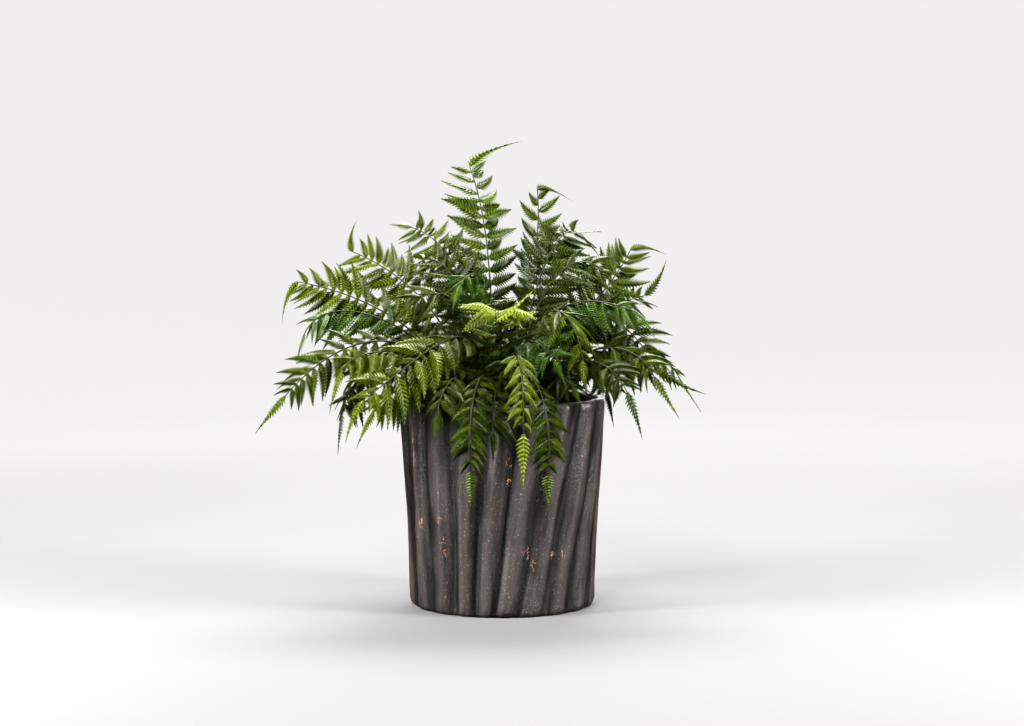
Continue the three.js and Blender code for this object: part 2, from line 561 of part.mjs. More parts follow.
// A frond: a diamond-section stem whose side edges open out into leaflets, right and left in turn.
class Frond {
  constructor(name, row, index) {
    this.name = name;
    this.row = row;
    this.twist = degToRad(row.twist ?? 0);
    this.random = seededRandom(SEED_STEP * (index + 1));
    this.stem = new Stem(row);
    this.leafStart = this.stem.length * LEAF_START;
    const room = (this.stem.length - this.leafStart) / LEAFLET_SPACING;
    this.count = Math.round(clamp(room, FEWEST_LEAFLETS, MOST_LEAFLETS));
    this.end = this.endLeaflet();
    this.leaflets = [];
  }

  // Where leafy segment i starts. The segments are shorter towards the tip.
  distanceAt(i) {
    const share = i / this.count;
    const crowded = share * (1 + CROWDING * (1 - share));
    return this.leafStart + (this.stem.length - this.leafStart) * crowded;
  }

  // The frames of every ring of the stem, from the bottom of the foot to the end.
  rings() {
    const step = this.leafStart / STIPE_SEGMENTS;
    const bare = Array.from({ length: STIPE_SEGMENTS }, (_, i) => step * (i + 1));
    const leafy = Array.from({ length: this.count }, (_, i) => this.distanceAt(i + 1));
    return [-ROOT_DEPTH, FOOT_RING, ...bare, ...leafy].map((distance) => this.stem.frame(distance));
  }

  // A point on the stem's right (1) or left (-1) edge, turned as low as the leaflet there hangs.
  flankPoint({ point, across, up, radius }, side, droop) {
    return point.clone()
      .addScaledVector(across, side * radius * Math.cos(droop))
      .addScaledVector(up, -radius * Math.sin(droop));
  }

  // The leaflet at the end, bent so that it ends at the tip.
  endLeaflet() {
    const { point, along, up: blade } = this.stem.frame(this.stem.length);
    const reach = this.stem.place(this.row.tip).sub(point);
    const halfWidth = END_HALF_WIDTH + END_WIDENING * reach.length();
    reach.addScaledVector(UPWARD, reach.length() * LEAFLET_SAG);
    const direction = along.clone().add(reach.clone().normalize()).normalize();
    const forward = direction.clone().cross(blade).normalize();
    const up = forward.clone().cross(direction);
    const length = reach.dot(direction);
    return new Leaflet({
      foot: point, direction, forward, up, twist: this.twist, length, halfWidth,
      curl: -reach.dot(up) / length, sickle: reach.dot(forward) / length,
      shape: END_SHAPE, footWidth: STEM_TIP_RADIUS / halfWidth,
    });
  }

  // The leaflet that grows from segment i, turned by swing degrees about the stem.
  leaflet(i, chance, swing, shortening) {
    const side = i % 2 ? -1 : 1;
    const share = (i + 0.5) / this.count;
    const [start, end] = [this.distanceAt(i), this.distanceAt(i + 1)];
    const frame = this.stem.frame((start + end) / 2);
    const { along, across, up } = frame;
    const hang = degToRad(this.row.hang + swing + chance.hang);
    const droop = clamp(hang, -STEEPEST_DROOP, STEEPEST_DROOP);
    const out = across.clone().multiplyScalar(side * Math.cos(droop)).addScaledVector(up, -Math.sin(droop));
    const normal = up.clone().multiplyScalar(Math.cos(droop)).addScaledVector(across, side * Math.sin(droop));
    const angle = degToRad(lerp(...LEAFLET_ANGLES, share * share) + chance.angle);
    const size = this.row.length * interpolate(LEAFLET_SIZES, share);
    const halfWidth = LEAFLET_HALF_WIDTH + size * LEAFLET_WIDENING;
    return new Leaflet({
      foot: this.flankPoint(frame, side, droop),
      direction: out.clone().multiplyScalar(Math.sin(angle)).addScaledVector(along, Math.cos(angle)),
      forward: along.clone().multiplyScalar(Math.sin(angle)).addScaledVector(out, -Math.cos(angle)),
      up: normal, droop, twist: this.twist, curl: chance.curl, sickle: LEAFLET_SICKLE,
      length: size * chance.size * shortening, halfWidth,
      shape: LEAFLET_SHAPE, footWidth: (end - start) / 2 / halfWidth,
    });
  }

  // Grows a leaflet from each segment but the last. It swings aside, and then gets shorter, until it
  // is clear of what stands there already. A segment with no room for it stays bare.
  grow(thicket) {
    for (let i = 0; i < this.count - 1; i++) {
      const drawn = Object.entries(CHANCES).map(([key, range]) => [key, lerp(...range, this.random())]);
      const chance = Object.fromEntries(drawn);
      const grown = this.tries(i, chance).find((leaflet) => thicket.clearOf(leaflet, this.name)) ?? null;
      this.leaflets.push(grown);
      if (grown) thicket.addLeaflet(grown, this.name);
    }
  }

  tries(i, chance) {
    return SHORTENINGS.flatMap((shortening) =>
      SWINGS.map((swing) => this.leaflet(i, chance, swing, shortening)),
    );
  }

  geometry() {
    const skin = new Skin();
    const bare = STIPE_SEGMENTS + 1;
    const rings = this.rings().map((frame, i) => {
      const [right, left] = this.droopsAt(i - bare);
      return {
        right: skin.point(this.flankPoint(frame, 1, right)),
        top: skin.point(frame.point.clone().addScaledVector(frame.up, frame.radius)),
        left: skin.point(this.flankPoint(frame, -1, left)),
        bottom: skin.point(frame.point.clone().addScaledVector(frame.up, -frame.radius)),
      };
    });
    skin.quad(rings[0].right, rings[0].top, rings[0].left, rings[0].bottom);
    rings.slice(1).forEach((next, i) => {
      const leafSide = (i - bare) % 2 ? "left" : "right";
      const leaflet = this.leaflets[i - bare];
      for (const side of ["right", "left"]) {
        const mirrored = side === "right";
        if (leaflet && side === leafSide) leaflet.addTo(skin, rings[i], next, [side, side], mirrored);
        else this.plainFlank(skin, rings[i], next, side, mirrored);
      }
    });
    this.end.addTo(skin, rings.at(-1), rings.at(-1), ["left", "right"], false);
    return skin.geometry();
  }

  // How low the leaflets on the right and on the left of a ring hang. The one before it and the one
  // after it stand on opposite sides.
  droopsAt(i) {
    const [before, after] = [this.leaflets[i - 1]?.droop ?? 0, this.leaflets[i]?.droop ?? 0];
    return i % 2 ? [before, after] : [after, before];
  }

  // The two faces of one side of a stem segment that has no leaflet.
  plainFlank(skin, a, b, side, mirrored) {
    skin.quad(a.top, a[side], b[side], b.top, !mirrored);
    skin.quad(a[side], a.bottom, b.bottom, b[side], !mirrored);
  }

  // The plain hole that the foot stands in, a little wider and deeper than the foot.
  hole() {
    const skin = new Skin();
    const foot = this.stem.frame(-ROOT_DEPTH - HOLE_CLEARANCE);
    const mouth = this.stem.frame(0);
    mouth.point.addScaledVector(mouth.along, HOLE_TOP);
    const [low, high] = [foot, mouth].map(({ point, across, up, radius }) => {
      const r = radius + HOLE_CLEARANCE * Math.SQRT2;
      return [[1, 0], [0, 1], [-1, 0], [0, -1]].map(([x, y]) =>
        skin.point(point.clone().addScaledVector(across, x * r).addScaledVector(up, y * r)),
      );
    });
    skin.quad(...low);
    skin.quad(...high.toReversed());
    low.forEach((corner, i) => {
      const j = (i + 1) % low.length;
      skin.quad(low[j], corner, high[i], high[j]);
    });
    return skin.geometry();
  }
}

// All the stems and end leaflets stand before the first leaflet grows.
function growFronds() {
  const fronds = Object.entries(FRONDS).map(([name, row], i) => new Frond(name, row, i));
  const thicket = new Thicket();
  for (const frond of fronds) {
    const points = frond.rings().map(({ point }) => point);
    points.slice(1).forEach((p, i) => thicket.addStretch(points[i], p, frond.name));
    thicket.addLeaflet(frond.end, frond.name);
  }
  fronds.forEach((frond) => frond.grow(thicket));
  return fronds;
}

function node(name, geometry, finish) {
  const mesh = new THREE.Mesh(geometry, new THREE.MeshStandardMaterial(finish));
  mesh.name = name;
  return mesh;
}

const plant = new THREE.Group();
const fronds = growFronds();
plant.add(node("pot", potGeometry(), FINISHES.glaze));
plant.add(node("soil", soilGeometry(fronds.map((frond) => frond.hole())), FINISHES.soil));
fronds.forEach((frond) => plant.add(node(`frond_${frond.name}`, frond.geometry(), FINISHES.leaf)));

export default plant;
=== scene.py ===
"""A potted leatherleaf fern: a glazed fluted pot, its soil, and the fronds that stand in it.

Shapes are worked out in millimetres and turned to metres when a mesh is made. The origin is the
centre of the pot's flat foot, +Z is up and -Y is the front.
"""

import logging
import math
from collections.abc import Callable, Sequence
from dataclasses import dataclass, field, replace
from enum import Enum

import bpy
import numpy as np
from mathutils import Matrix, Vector
from mathutils.bvhtree import BVHTree


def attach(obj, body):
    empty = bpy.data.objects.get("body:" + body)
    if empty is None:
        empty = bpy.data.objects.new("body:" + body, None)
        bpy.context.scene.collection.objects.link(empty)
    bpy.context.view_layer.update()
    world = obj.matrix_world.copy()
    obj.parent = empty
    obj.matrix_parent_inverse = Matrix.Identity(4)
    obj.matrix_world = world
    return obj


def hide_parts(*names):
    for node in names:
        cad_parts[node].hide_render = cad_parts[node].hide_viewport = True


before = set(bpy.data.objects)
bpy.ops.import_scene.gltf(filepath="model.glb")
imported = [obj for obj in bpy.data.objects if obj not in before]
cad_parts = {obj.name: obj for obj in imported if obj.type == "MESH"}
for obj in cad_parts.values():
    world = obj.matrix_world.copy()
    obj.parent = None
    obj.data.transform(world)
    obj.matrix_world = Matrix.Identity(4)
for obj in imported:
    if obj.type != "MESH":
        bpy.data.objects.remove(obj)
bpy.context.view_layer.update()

LOG = logging.getLogger("potted_fern")
MM = 0.001
UPWARD = np.array([0.0, 0.0, 1.0])
Colour = tuple[float, float, float]
Place = tuple[float, float, float]
Table = tuple[tuple[float, float], ...]


def srgb(red: int, green: int, blue: int) -> Colour:
    """A colour given as it looks on a screen, from 0 to 255, as the linear values that light adds up in.

    Args:
        red: Red, 0 to 255.
        green: Green, 0 to 255.
        blue: Blue, 0 to 255.

    Returns:
        The linear colour.
    """
    return tuple(((part / 255 + 0.055) / 1.055) ** 2.4 for part in (red, green, blue))


def blend(value: np.ndarray | float, low: float, high: float) -> np.ndarray | float:
    """A smooth step: 0 below low, 1 above high."""
    share = np.clip((value - low) / (high - low), 0.0, 1.0)
    return share * share * (3 - 2 * share)


def profile(table: Table, x: np.ndarray | float) -> np.ndarray | float:
    """The value at x of a line through the points of a table."""
    return np.interp(x, [point[0] for point in table], [point[1] for point in table])


def around(
    radius: np.ndarray | float, angle: np.ndarray | float, z: np.ndarray | float
) -> np.ndarray:
    """Points at distances from the pot's axis, angles round it and heights."""
    return np.stack(np.broadcast_arrays(radius * np.cos(angle), radius * np.sin(angle), z), -1)


class Shade:
    """A shader socket that can be used in an expression."""

    def __init__(self, surface: "Surface", socket: bpy.types.NodeSocket) -> None:
        """Wraps one output socket of a surface's nodes."""
        self.surface = surface
        self.socket = socket

    def apply(self, operation: str, first: "Shade | float", second: "Shade | float" = 0.0) -> "Shade":
        """The result of a Math node on two numbers."""
        return self.surface.add("Math", {"operation": operation}, {0: first, 1: second})

    def __add__(self, other: "Shade | float") -> "Shade":
        """self + other."""
        return self.apply("ADD", self, other)

    __radd__ = __add__

    def __sub__(self, other: "Shade | float") -> "Shade":
        """self - other."""
        return self.apply("SUBTRACT", self, other)

    def __rsub__(self, other: "Shade | float") -> "Shade":
        """other - self."""
        return self.apply("SUBTRACT", other, self)

    def __mul__(self, other: "Shade | float") -> "Shade":
        """self * other."""
        return self.apply("MULTIPLY", self, other)

    __rmul__ = __mul__

    def __abs__(self) -> "Shade":
        """The size of a value without its sign."""
        return self.apply("ABSOLUTE", self)

    def __pow__(self, power: float) -> "Shade":
        """self ** power."""
        return self.apply("POWER", self, power)

    def fraction(self) -> "Shade":
        """What is left of a value past its whole number."""
        return self.apply("FRACT", self)

    def step(self, low: float, high: float) -> "Shade":
        """A smooth step: 0 below low, 1 above high."""
        sockets = {"Value": self, "From Min": low, "From Max": high}
        return self.surface.add("MapRange", {"interpolation_type": "SMOOTHSTEP"}, sockets, "Result")

    def parts(self) -> "tuple[Shade, Shade, Shade]":
        """The three numbers of a vector."""
        first = self.surface.add("SeparateXYZ", None, {0: self})
        return tuple(Shade(self.surface, output) for output in first.socket.node.outputs)


class Surface:
    """A material whose shader is written as expressions."""

    def __init__(self, name: str) -> None:
        """Makes a material with one Principled shader.

        Args:
            name: Its name.
        """
        self.material = bpy.data.materials.new(name)
        self.material.use_nodes = True
        self.tree = self.material.node_tree
        self.shader = self.tree.nodes["Principled BSDF"]
        self.output = self.tree.nodes["Material Output"]

    def add(
        self,
        kind: str,
        settings: dict[str, object] | None = None,
        sockets: dict[str | int, object] | None = None,
        out: str | int = 0,
    ) -> Shade:
        """Adds any node.

        Args:
            kind: The node's type, without the ShaderNode that each type starts with.
            settings: What is set on the node itself, first of all.
            sockets: Values or links of its input sockets.
            out: The output that is wanted.

        Returns:
            That output.
        """
        node = self.tree.nodes.new("ShaderNode" + kind)
        for key, value in (settings or {}).items():
            setattr(node, key, value)
        for key, value in (sockets or {}).items():
            self.feed(node.inputs[key], value)
        return Shade(self, node.outputs[out])

    def feed(self, socket: bpy.types.NodeSocket, value: object) -> None:
        """Links or sets a socket.

        Args:
            socket: The input socket.
            value: A Shade, which is linked to it, or its number, vector or colour.
        """
        if isinstance(value, Shade):
            self.tree.links.new(value.socket, socket)
        elif socket.type == "RGBA":
            socket.default_value = (*value, 1.0)
        else:
            socket.default_value = value

    def set(self, **sockets: object) -> None:
        """Feeds the shader's sockets, named with _ for each space."""
        for key, value in sockets.items():
            self.feed(self.shader.inputs[key.replace("_", " ")], value)

    def coordinates(self) -> Shade:
        """Places on the piece, in metres."""
        return self.add("TexCoord", out="Object")

    def attribute(self, name: str) -> Shade:
        """A vector that the mesh carries."""
        return self.add("Attribute", {"attribute_name": name}, out="Vector")

    def noise(self, size: float, detail: float = 3.0, place: Shade | None = None) -> Shade:
        """Cloudy noise with features of a size in millimetres.

        Args:
            size: Width of the largest features.
            detail: How many finer layers it has.
            place: Where it is looked up; without it, the place on the piece.

        Returns:
            A value about 0.5.
        """
        sockets = {"Vector": place or self.coordinates(), "Scale": 1 / (size * MM), "Detail": detail}
        return self.add("TexNoise", None, sockets, "Fac")

    def mix(self, factor: Shade | float, first: Shade | Colour, second: Shade | Colour) -> Shade:
        """The first colour where factor is 0, and the second where it is 1."""
        settings = {"data_type": "RGBA", "clamp_factor": True}
        return self.add("Mix", settings, {0: factor, 6: first, 7: second}, 2)

    def bump(self, height: Shade, depth: float) -> Shade:
        """A bent normal for a height from 0 to 1 that stands for a depth in millimetres."""
        return self.add("Bump", None, {"Height": height, "Distance": depth * MM, "Strength": 1.0})


@dataclass(frozen=True)
class GlazeFinish:
    """Satin graphite glaze with copper scratches in spots: paler on the ridges, where it runs thinner and a
    highlight is painted in, and darker in the grooves, where it pools and shade is painted in.
    """

    # Groove colour: glaze that pools there, darkened further as painted shade.
    pooled_and_shade: Colour = srgb(24, 21, 22)
    # Ridge colour: glaze running thinner there, made paler as a painted highlight.
    thin_and_highlight: Colour = srgb(91, 83, 81)
    speck: Colour = srgb(190, 182, 178)
    clay: Colour = srgb(226, 160, 116)

    def material(self) -> bpy.types.Material:
        """Builds the glaze.

        The ware attribute holds the ridge's height, the wear and the depth inside, and the flow
        attribute a place that stays the same along a flute.

        Returns:
            The material.
        """
        surface = Surface("glaze")
        ridge, wear, inside = surface.attribute("ware").parts()
        flow = surface.attribute("flow")
        streak = surface.noise(7.0, 4.0, flow)
        cloud = surface.noise(34.0, 3.0)
        grain = surface.noise(2.4, 3.0)
        fine = surface.noise(1.0, 1.0)
        # Paler along the ridges and darker in the grooves: glaze running thinner and pooling, and also a
        # painted highlight and painted shade. Inside the pot it keeps the groove colour throughout.
        thinning_and_highlight = (ridge * 0.6 + streak * 1.5 + cloud * 0.6 - 1.05).step(0.0, 0.8) * (1 - inside)
        base = surface.mix(thinning_and_highlight, self.pooled_and_shade, self.thin_and_highlight)
        flecks = (fine + grain * 0.5).step(0.89, 1.02) * (thinning_and_highlight * 0.6 + 0.25)
        base = surface.mix(flecks, base, self.speck)
        scratch = 1 - abs(surface.noise(5.5, 1.5) - 0.5).step(0.012, 0.034)
        worn = scratch * wear.step(0.25, 0.5) * (1 - inside)
        base = surface.mix(worn, base, self.clay)
        relief = streak * 0.5 + grain * 0.35 + fine.step(0.3, 0.5) * 0.3 + worn * 0.3
        surface.set(
            Base_Color=base,
            Roughness=cloud * 0.2 + grain * 0.12 + worn * 0.3 + 0.2,
            Normal=surface.bump(relief, 0.9),
            Specular_IOR_Level=1.0,
        )
        return surface.material


@dataclass(frozen=True)
class SoilFinish:
    """Dark, damp potting soil with paler bits of bark."""

    damp: Colour = srgb(30, 21, 15)
    crumb: Colour = srgb(74, 54, 38)

    def material(self) -> bpy.types.Material:
        """Builds the soil.

        Returns:
            The material.
        """
        surface = Surface("soil")
        crumbs = surface.noise(5.0, 5.0)
        surface.set(
            Base_Color=surface.mix(crumbs.step(0.4, 0.7), self.damp, self.crumb),
            Roughness=0.95,
            Normal=surface.bump(crumbs, 1.5),
        )
        return surface.material


@dataclass(frozen=True)
class StemFinish:
    """The stalks: dark brown at the foot, greener towards the tip."""

    foot: Colour = srgb(38, 27, 18)
    tip: Colour = srgb(58, 64, 24)

    def material(self) -> bpy.types.Material:
        """Builds the stem. The growth attribute's second number is the share of the stem.

        Returns:
            The material.
        """
        surface = Surface("stem")
        _, share, _ = surface.attribute("growth").parts()
        grain = surface.noise(3.0, 3.0)
        surface.set(
            Base_Color=surface.mix(share * 0.8 + grain * 0.3, self.foot, self.tip),
            Roughness=grain * 0.2 + 0.4,
            Normal=surface.bump(grain, 0.2),
        )
        return surface.material


@dataclass(frozen=True)
class LeafFinish:
    """One tone of leaf: its ground colours above, its veins, its underside and the light through it."""

    name: str
    deep: Colour
    bright: Colour
    vein: Colour
    under: Colour
    through: Colour
    see_through: float = 0.16
    vein_at: float = 0.65

    def material(self) -> bpy.types.Material:
        """Builds the leaf.

        The blade attribute holds the share of the length, the share of the half width and the place
        in teeth. The growth attribute holds a leaflet's tone, the share of the stem and the side.

        Returns:
            The material.
        """
        surface = Surface(self.name)
        along, across, tooth = surface.attribute("blade").parts()
        tone, share, side = surface.attribute("growth").parts()
        edge = abs(across)
        off_vein = abs(tooth.fraction() - self.vein_at)
        vein = (1 - off_vein * 5).step(0.0, 1.0) * (1 - edge * 0.6) * along.step(0.02, 0.1)
        rib = 1 - edge.step(0.02, 0.1)
        mottle = surface.noise(6.0, 3.0)
        fleck = surface.noise(1.7, 2.0)
        # Painted light and shade of the pleats: lighter along the raised vein lines that run to the teeth,
        # darker in the grooves between them.
        pleat_light_and_shade = (0.3 - off_vein) * 1.6
        blotches = (mottle - 0.5) * 1.3 + (fleck - 0.5) * 0.7
        # edge * 0.2 lightens the margins: painted rim light.
        # share * 0.4 makes leaflets darker towards the frond's foot and the low ones darkest, in the crowded
        # heart: painted shade.
        light = tone * 0.4 + blotches + edge * 0.2 + share * 0.4 - 0.18 + pleat_light_and_shade
        ground = surface.mix(light.step(-0.05, 0.95), self.deep, self.bright)
        ground = surface.mix(vein * 0.3 + rib * 0.45, ground, self.vein)
        pale = surface.mix(fleck.step(0.3, 0.8) * 0.5 + vein * 0.3, self.under, self.bright)
        relief = fleck * 0.5 - off_vein * 1.4
        surface.set(
            Base_Color=surface.mix(side.step(0.45, 0.55), ground, pale),
            Roughness=mottle * 0.26 + 0.16,
            Normal=surface.bump(relief, 0.8),
            Specular_IOR_Level=0.34,
        )
        self.let_light_through(surface)
        return surface.material

    def let_light_through(self, surface: Surface) -> None:
        """Lets some of the light behind the leaf through it.

        Args:
            surface: The leaf's material.
        """
        shine = surface.add("BsdfTranslucent", None, {"Color": self.through})
        skin = Shade(surface, surface.shader.outputs[0])
        both = surface.add("MixShader", None, {0: self.see_through, 1: skin, 2: shine})
        surface.feed(surface.output.inputs["Surface"], both)


class Tone(Enum):
    """The tones of leaf that the fern has. FRESH, MIDDLE and DEEP_AND_SHADED are one green at three
    brightnesses; DEEP_AND_SHADED, given to most fronds of the heart and those low down and underneath, is
    partly their own deeper green and partly painted shade.
    """

    FRESH = LeafFinish(
        "leaf_fresh",
        srgb(24, 34, 2), srgb(114, 132, 6), srgb(136, 150, 50), srgb(84, 98, 30), srgb(156, 176, 4),
    )
    MIDDLE = LeafFinish(
        "leaf_middle",
        srgb(20, 29, 2), srgb(95, 114, 6), srgb(116, 132, 44), srgb(70, 85, 26), srgb(124, 150, 4),
    )
    # DEEP_AND_SHADED: a darker copy of the same green, partly the fronds' own deeper tone and partly painted
    # shade.
    DEEP_AND_SHADED = LeafFinish(
        "leaf_deep_and_shaded",
        srgb(12, 19, 2), srgb(74, 92, 6), srgb(96, 110, 38), srgb(56, 70, 22), srgb(84, 106, 4),
    )
    BLUE = LeafFinish(
        "leaf_blue",
        srgb(16, 27, 4), srgb(90, 120, 32), srgb(146, 176, 98), srgb(98, 128, 62), srgb(88, 118, 6),
    )
    PALE = LeafFinish(
        "leaf_pale",
        srgb(78, 94, 16), srgb(152, 168, 56), srgb(196, 204, 112), srgb(138, 152, 72), srgb(112, 138, 12),
    )


@dataclass(frozen=True)
class Row:
    """The places that one frond passes, as (distance from the pot's axis, height) in millimetres.

    They lie in the upright plane at its azimuth, where 0 is +X and -90 is the front. The tip may have
    a third number, its distance out of that plane. face turns the blade's upper side to the front,
    hang lowers the leaflets on both sides, twist turns each leaflet's upper side to the frond's tip,
    and length is the longest leaflet's. Angles are in degrees. breadth widens the leaflets.
    """

    name: str
    azimuth: float
    root: float
    knee: tuple[float, float]
    crest: tuple[float, float]
    end: tuple[float, float]
    tip: tuple[float, ...]
    length: float
    tone: Tone
    face: float = 0.0
    hang: float = 0.0
    twist: float = 0.0
    breadth: float = 1.0


FRESH, MIDDLE, DEEP_AND_SHADED, BLUE, PALE = Tone

# Fronds in the heart, low down and underneath mostly take the DEEP_AND_SHADED tone, partly as painted shade.
ROWS = (
    Row("top_centre", 108, 8, (31, 268), (52, 354), (110, 432), (100, 456, 52), 38, MIDDLE, 0, 4, 0, 1.15),
    Row("top_right", 66, 14, (44, 266), (78, 338), (86, 408), (98, 394, 34), 32, MIDDLE, 8, 20, 0, 1.15),
    Row("arch_right", 44, 20, (32, 268), (66, 345), (112, 362), (142, 334), 36, DEEP_AND_SHADED, 34, 18),
    Row("upper_right", 22, 28, (56, 250), (98, 296), (138, 348), (172, 342, 12), 38, MIDDLE, 70, 4),
    Row("far_right", 36, 34, (70, 248), (124, 284), (180, 300), (208, 336), 30, DEEP_AND_SHADED, 56, 6),
    Row("right_long", -8, 34, (56, 262), (100, 284), (150, 236), (200, 209), 36, DEEP_AND_SHADED, 66, 4),
    Row("right_drooping", -25, 44, (70, 238), (118, 256), (160, 230), (186, 190), 32, MIDDLE, 40, 10),
    Row("right_low", -38, 50, (72, 232), (112, 244), (150, 217), (168, 172), 28, DEEP_AND_SHADED, 36, 10),
    Row("upper_left", 160, 20, (50, 252), (92, 306), (160, 346), (152, 378, -6), 38, FRESH, 66, 0),
    Row("top_left", 132, 20, (42, 276), (78, 338), (140, 370), (176, 372), 34, MIDDLE, 56, 8),
    Row("far_left", 174, 32, (72, 252), (130, 294), (203, 317), (220, 272), 36, FRESH, 66, 0),
    Row("left_arch", 186, 36, (68, 248), (138, 288), (194, 268), (202, 238), 32, BLUE, 30, 34),
    Row("left_long", 200, 44, (70, 240), (134, 262), (220, 212), (250, 176), 32, MIDDLE, 44, 10),
    Row("left_low", 212, 50, (74, 236), (132, 254), (178, 238), (192, 196), 30, FRESH, 24, 30),
    Row("front_left_long", 224, 20, (42, 262), (100, 254), (180, 212), (202, 172), 40, FRESH, 30, 12),
    Row("left_under", 193, 56, (84, 222), (128, 232), (160, 192), (164, 150), 30, DEEP_AND_SHADED, 24, 20),
    Row("front_left_low", 217, 56, (76, 218), (112, 222), (152, 198), (172, 164), 30, FRESH, 20, 20),
    Row("front_rim_centre", -94, 58, (78, 216), (103, 211), (119, 180), (122, 150), 28, DEEP_AND_SHADED, 0, 16, 20),
    Row("front_rim_left", 240, 48, (68, 226), (100, 226), (122, 196), (128, 168), 30, MIDDLE, 10, 20),
    Row("front_hanging_left", -103, 50, (72, 230), (118, 214), (132, 146), (133, 110),
        21, MIDDLE, 0, 6, 0, 1.35),
    Row("front_hanging_pale", -82, 44, (74, 246), (122, 244), (143, 182), (141, 128),
        20, PALE, 0, 30, 0, 1.2),
    Row("front_hanging_right", -70, 54, (78, 226), (116, 206), (128, 142), (130, 106),
        21, MIDDLE, 0, 10, 0, 1.35),
    Row("centre_pale", -92, 20, (42, 262), (84, 292), (130, 288), (146, 322, -42),
        38, PALE, 0, -14, 50, 1.15),
    Row("front_face", -60, 16, (30, 248), (62, 262), (98, 246), (120, 222), 36, BLUE, 34, 6, 36),
    Row("centre_blue", -122, 14, (26, 276), (44, 322), (76, 318), (90, 290), 32, BLUE, 10, 38),
    Row("front_right_arch", -22, 24, (38, 262), (74, 298), (140, 290), (158, 264), 34, BLUE, 20, 36),
    Row("front_right", -46, 22, (36, 264), (76, 292), (110, 246), (116, 208), 36, FRESH, 20, 30),
    Row("back_right", 8, 48, (72, 232), (128, 250), (176, 224), (200, 186), 32, MIDDLE, 20, 14),
    Row("back_right_low", 52, 52, (80, 226), (132, 238), (176, 198), (188, 160), 32, DEEP_AND_SHADED, 0, 16),
    Row("back_centre", 88, 34, (64, 246), (122, 290), (182, 284), (212, 254), 36, MIDDLE, 0, 10),
    Row("back_centre_low", 104, 56, (84, 224), (134, 226), (166, 176), (172, 134), 32, DEEP_AND_SHADED, 0, 14),
    Row("back_left", 120, 44, (72, 238), (134, 268), (190, 240), (214, 206), 34, FRESH, 0, 12),
    Row("back_left_low", 148, 52, (80, 230), (136, 244), (184, 208), (202, 170), 32, MIDDLE, 0, 16),
    Row("heart_left", -160, 12, (26, 250), (50, 300), (96, 296), (118, 270), 34, DEEP_AND_SHADED, 26, 20),
    Row("heart_right", 0, 16, (26, 270), (60, 330), (104, 322), (124, 294), 34, DEEP_AND_SHADED, 40, 16),
    Row("heart_low_left", -129, 34, (48, 224), (72, 238), (98, 226), (114, 204), 30, DEEP_AND_SHADED, 20, 16, 8),
    Row("heart_low_right", -30, 32, (46, 226), (72, 242), (100, 232), (116, 210), 30, DEEP_AND_SHADED, 20, 16, 24),
    Row("heart_low_back", 78, 26, (40, 232), (70, 262), (104, 262), (122, 240), 32, DEEP_AND_SHADED, 0, 12),
    Row("heart_back", 150, 10, (26, 262), (60, 326), (104, 330), (128, 306), 34, DEEP_AND_SHADED, 40, 14),
    Row("heart_low_front", -84, 32, (42, 226), (60, 244), (88, 236), (102, 218), 26, DEEP_AND_SHADED, 0, 18),
    Row("front_rim_right", -54, 57, (76, 217), (94, 229), (114, 222), (127, 202), 24, DEEP_AND_SHADED, 20, 14),
)


class Chances:
    """A small seeded generator, so that every run grows the same plant."""

    SEED_STEP = 977
    MULTIPLIER = 1664525
    INCREMENT = 1013904223
    MODULUS = 2**32

    def __init__(self, seed: int) -> None:
        """Starts the generator for the piece with a whole number of its own."""
        self.state = (self.SEED_STEP * seed) % self.MODULUS

    def between(self, low: float, high: float) -> float:
        """The next number from low to high."""
        self.state = (self.state * self.MULTIPLIER + self.INCREMENT) % self.MODULUS
        return low + (high - low) * self.state / self.MODULUS


class Shell:
    """Gathers closed shells into one mesh object."""

    def __init__(self) -> None:
        """Starts with nothing gathered."""
        self.points: list[np.ndarray] = []
        self.faces: list[np.ndarray] = []
        self.slots: list[np.ndarray] = []
        self.carried: dict[str, list[np.ndarray]] = {}
        self.count = 0

    def add(self, points: np.ndarray, faces: np.ndarray, slot: int = 0, **carried: np.ndarray) -> None:
        """Adds one shell.

        Args:
            points: Its corners, in millimetres, as n rows of 3.
            faces: Its triangles, as rows of 3 corners.
            slot: The number of its material.
            **carried: Vectors that its corners carry for the shaders, as n rows of 3 each.
        """
        self.points.append(points)
        self.faces.append(faces + self.count)
        self.slots.append(np.full(len(faces), slot))
        for name, values in carried.items():
            self.carried.setdefault(name, []).append(values)
        self.count += len(points)

    def build(self, name: str, materials: Sequence[bpy.types.Material], crease: float) -> bpy.types.Object:
        """Makes the object.

        Args:
            name: Its name.
            materials: Its materials, by slot.
            crease: The angle between faces, in degrees, above which an edge looks sharp.

        Returns:
            The object, in metres.
        """
        points = np.concatenate(self.points) * MM
        faces = np.concatenate(self.faces)
        mesh = bpy.data.meshes.new(name)
        mesh.vertices.add(len(points))
        mesh.vertices.foreach_set("co", points.ravel())
        mesh.loops.add(faces.size)
        mesh.loops.foreach_set("vertex_index", faces.ravel())
        mesh.polygons.add(len(faces))
        mesh.polygons.foreach_set("loop_start", np.arange(0, faces.size, 3))
        mesh.polygons.foreach_set("material_index", np.concatenate(self.slots))
        mesh.update(calc_edges=True)
        for key, values in self.carried.items():
            layer = mesh.attributes.new(key, "FLOAT_VECTOR", "POINT")
            layer.data.foreach_set("vector", np.concatenate(values).ravel())
        for material in materials:
            mesh.materials.append(material)
        mesh.shade_smooth()
        mesh.set_sharp_from_angle(angle=math.radians(crease))
        made = bpy.data.objects.new(name, mesh)
        bpy.context.scene.collection.objects.link(made)
        return made


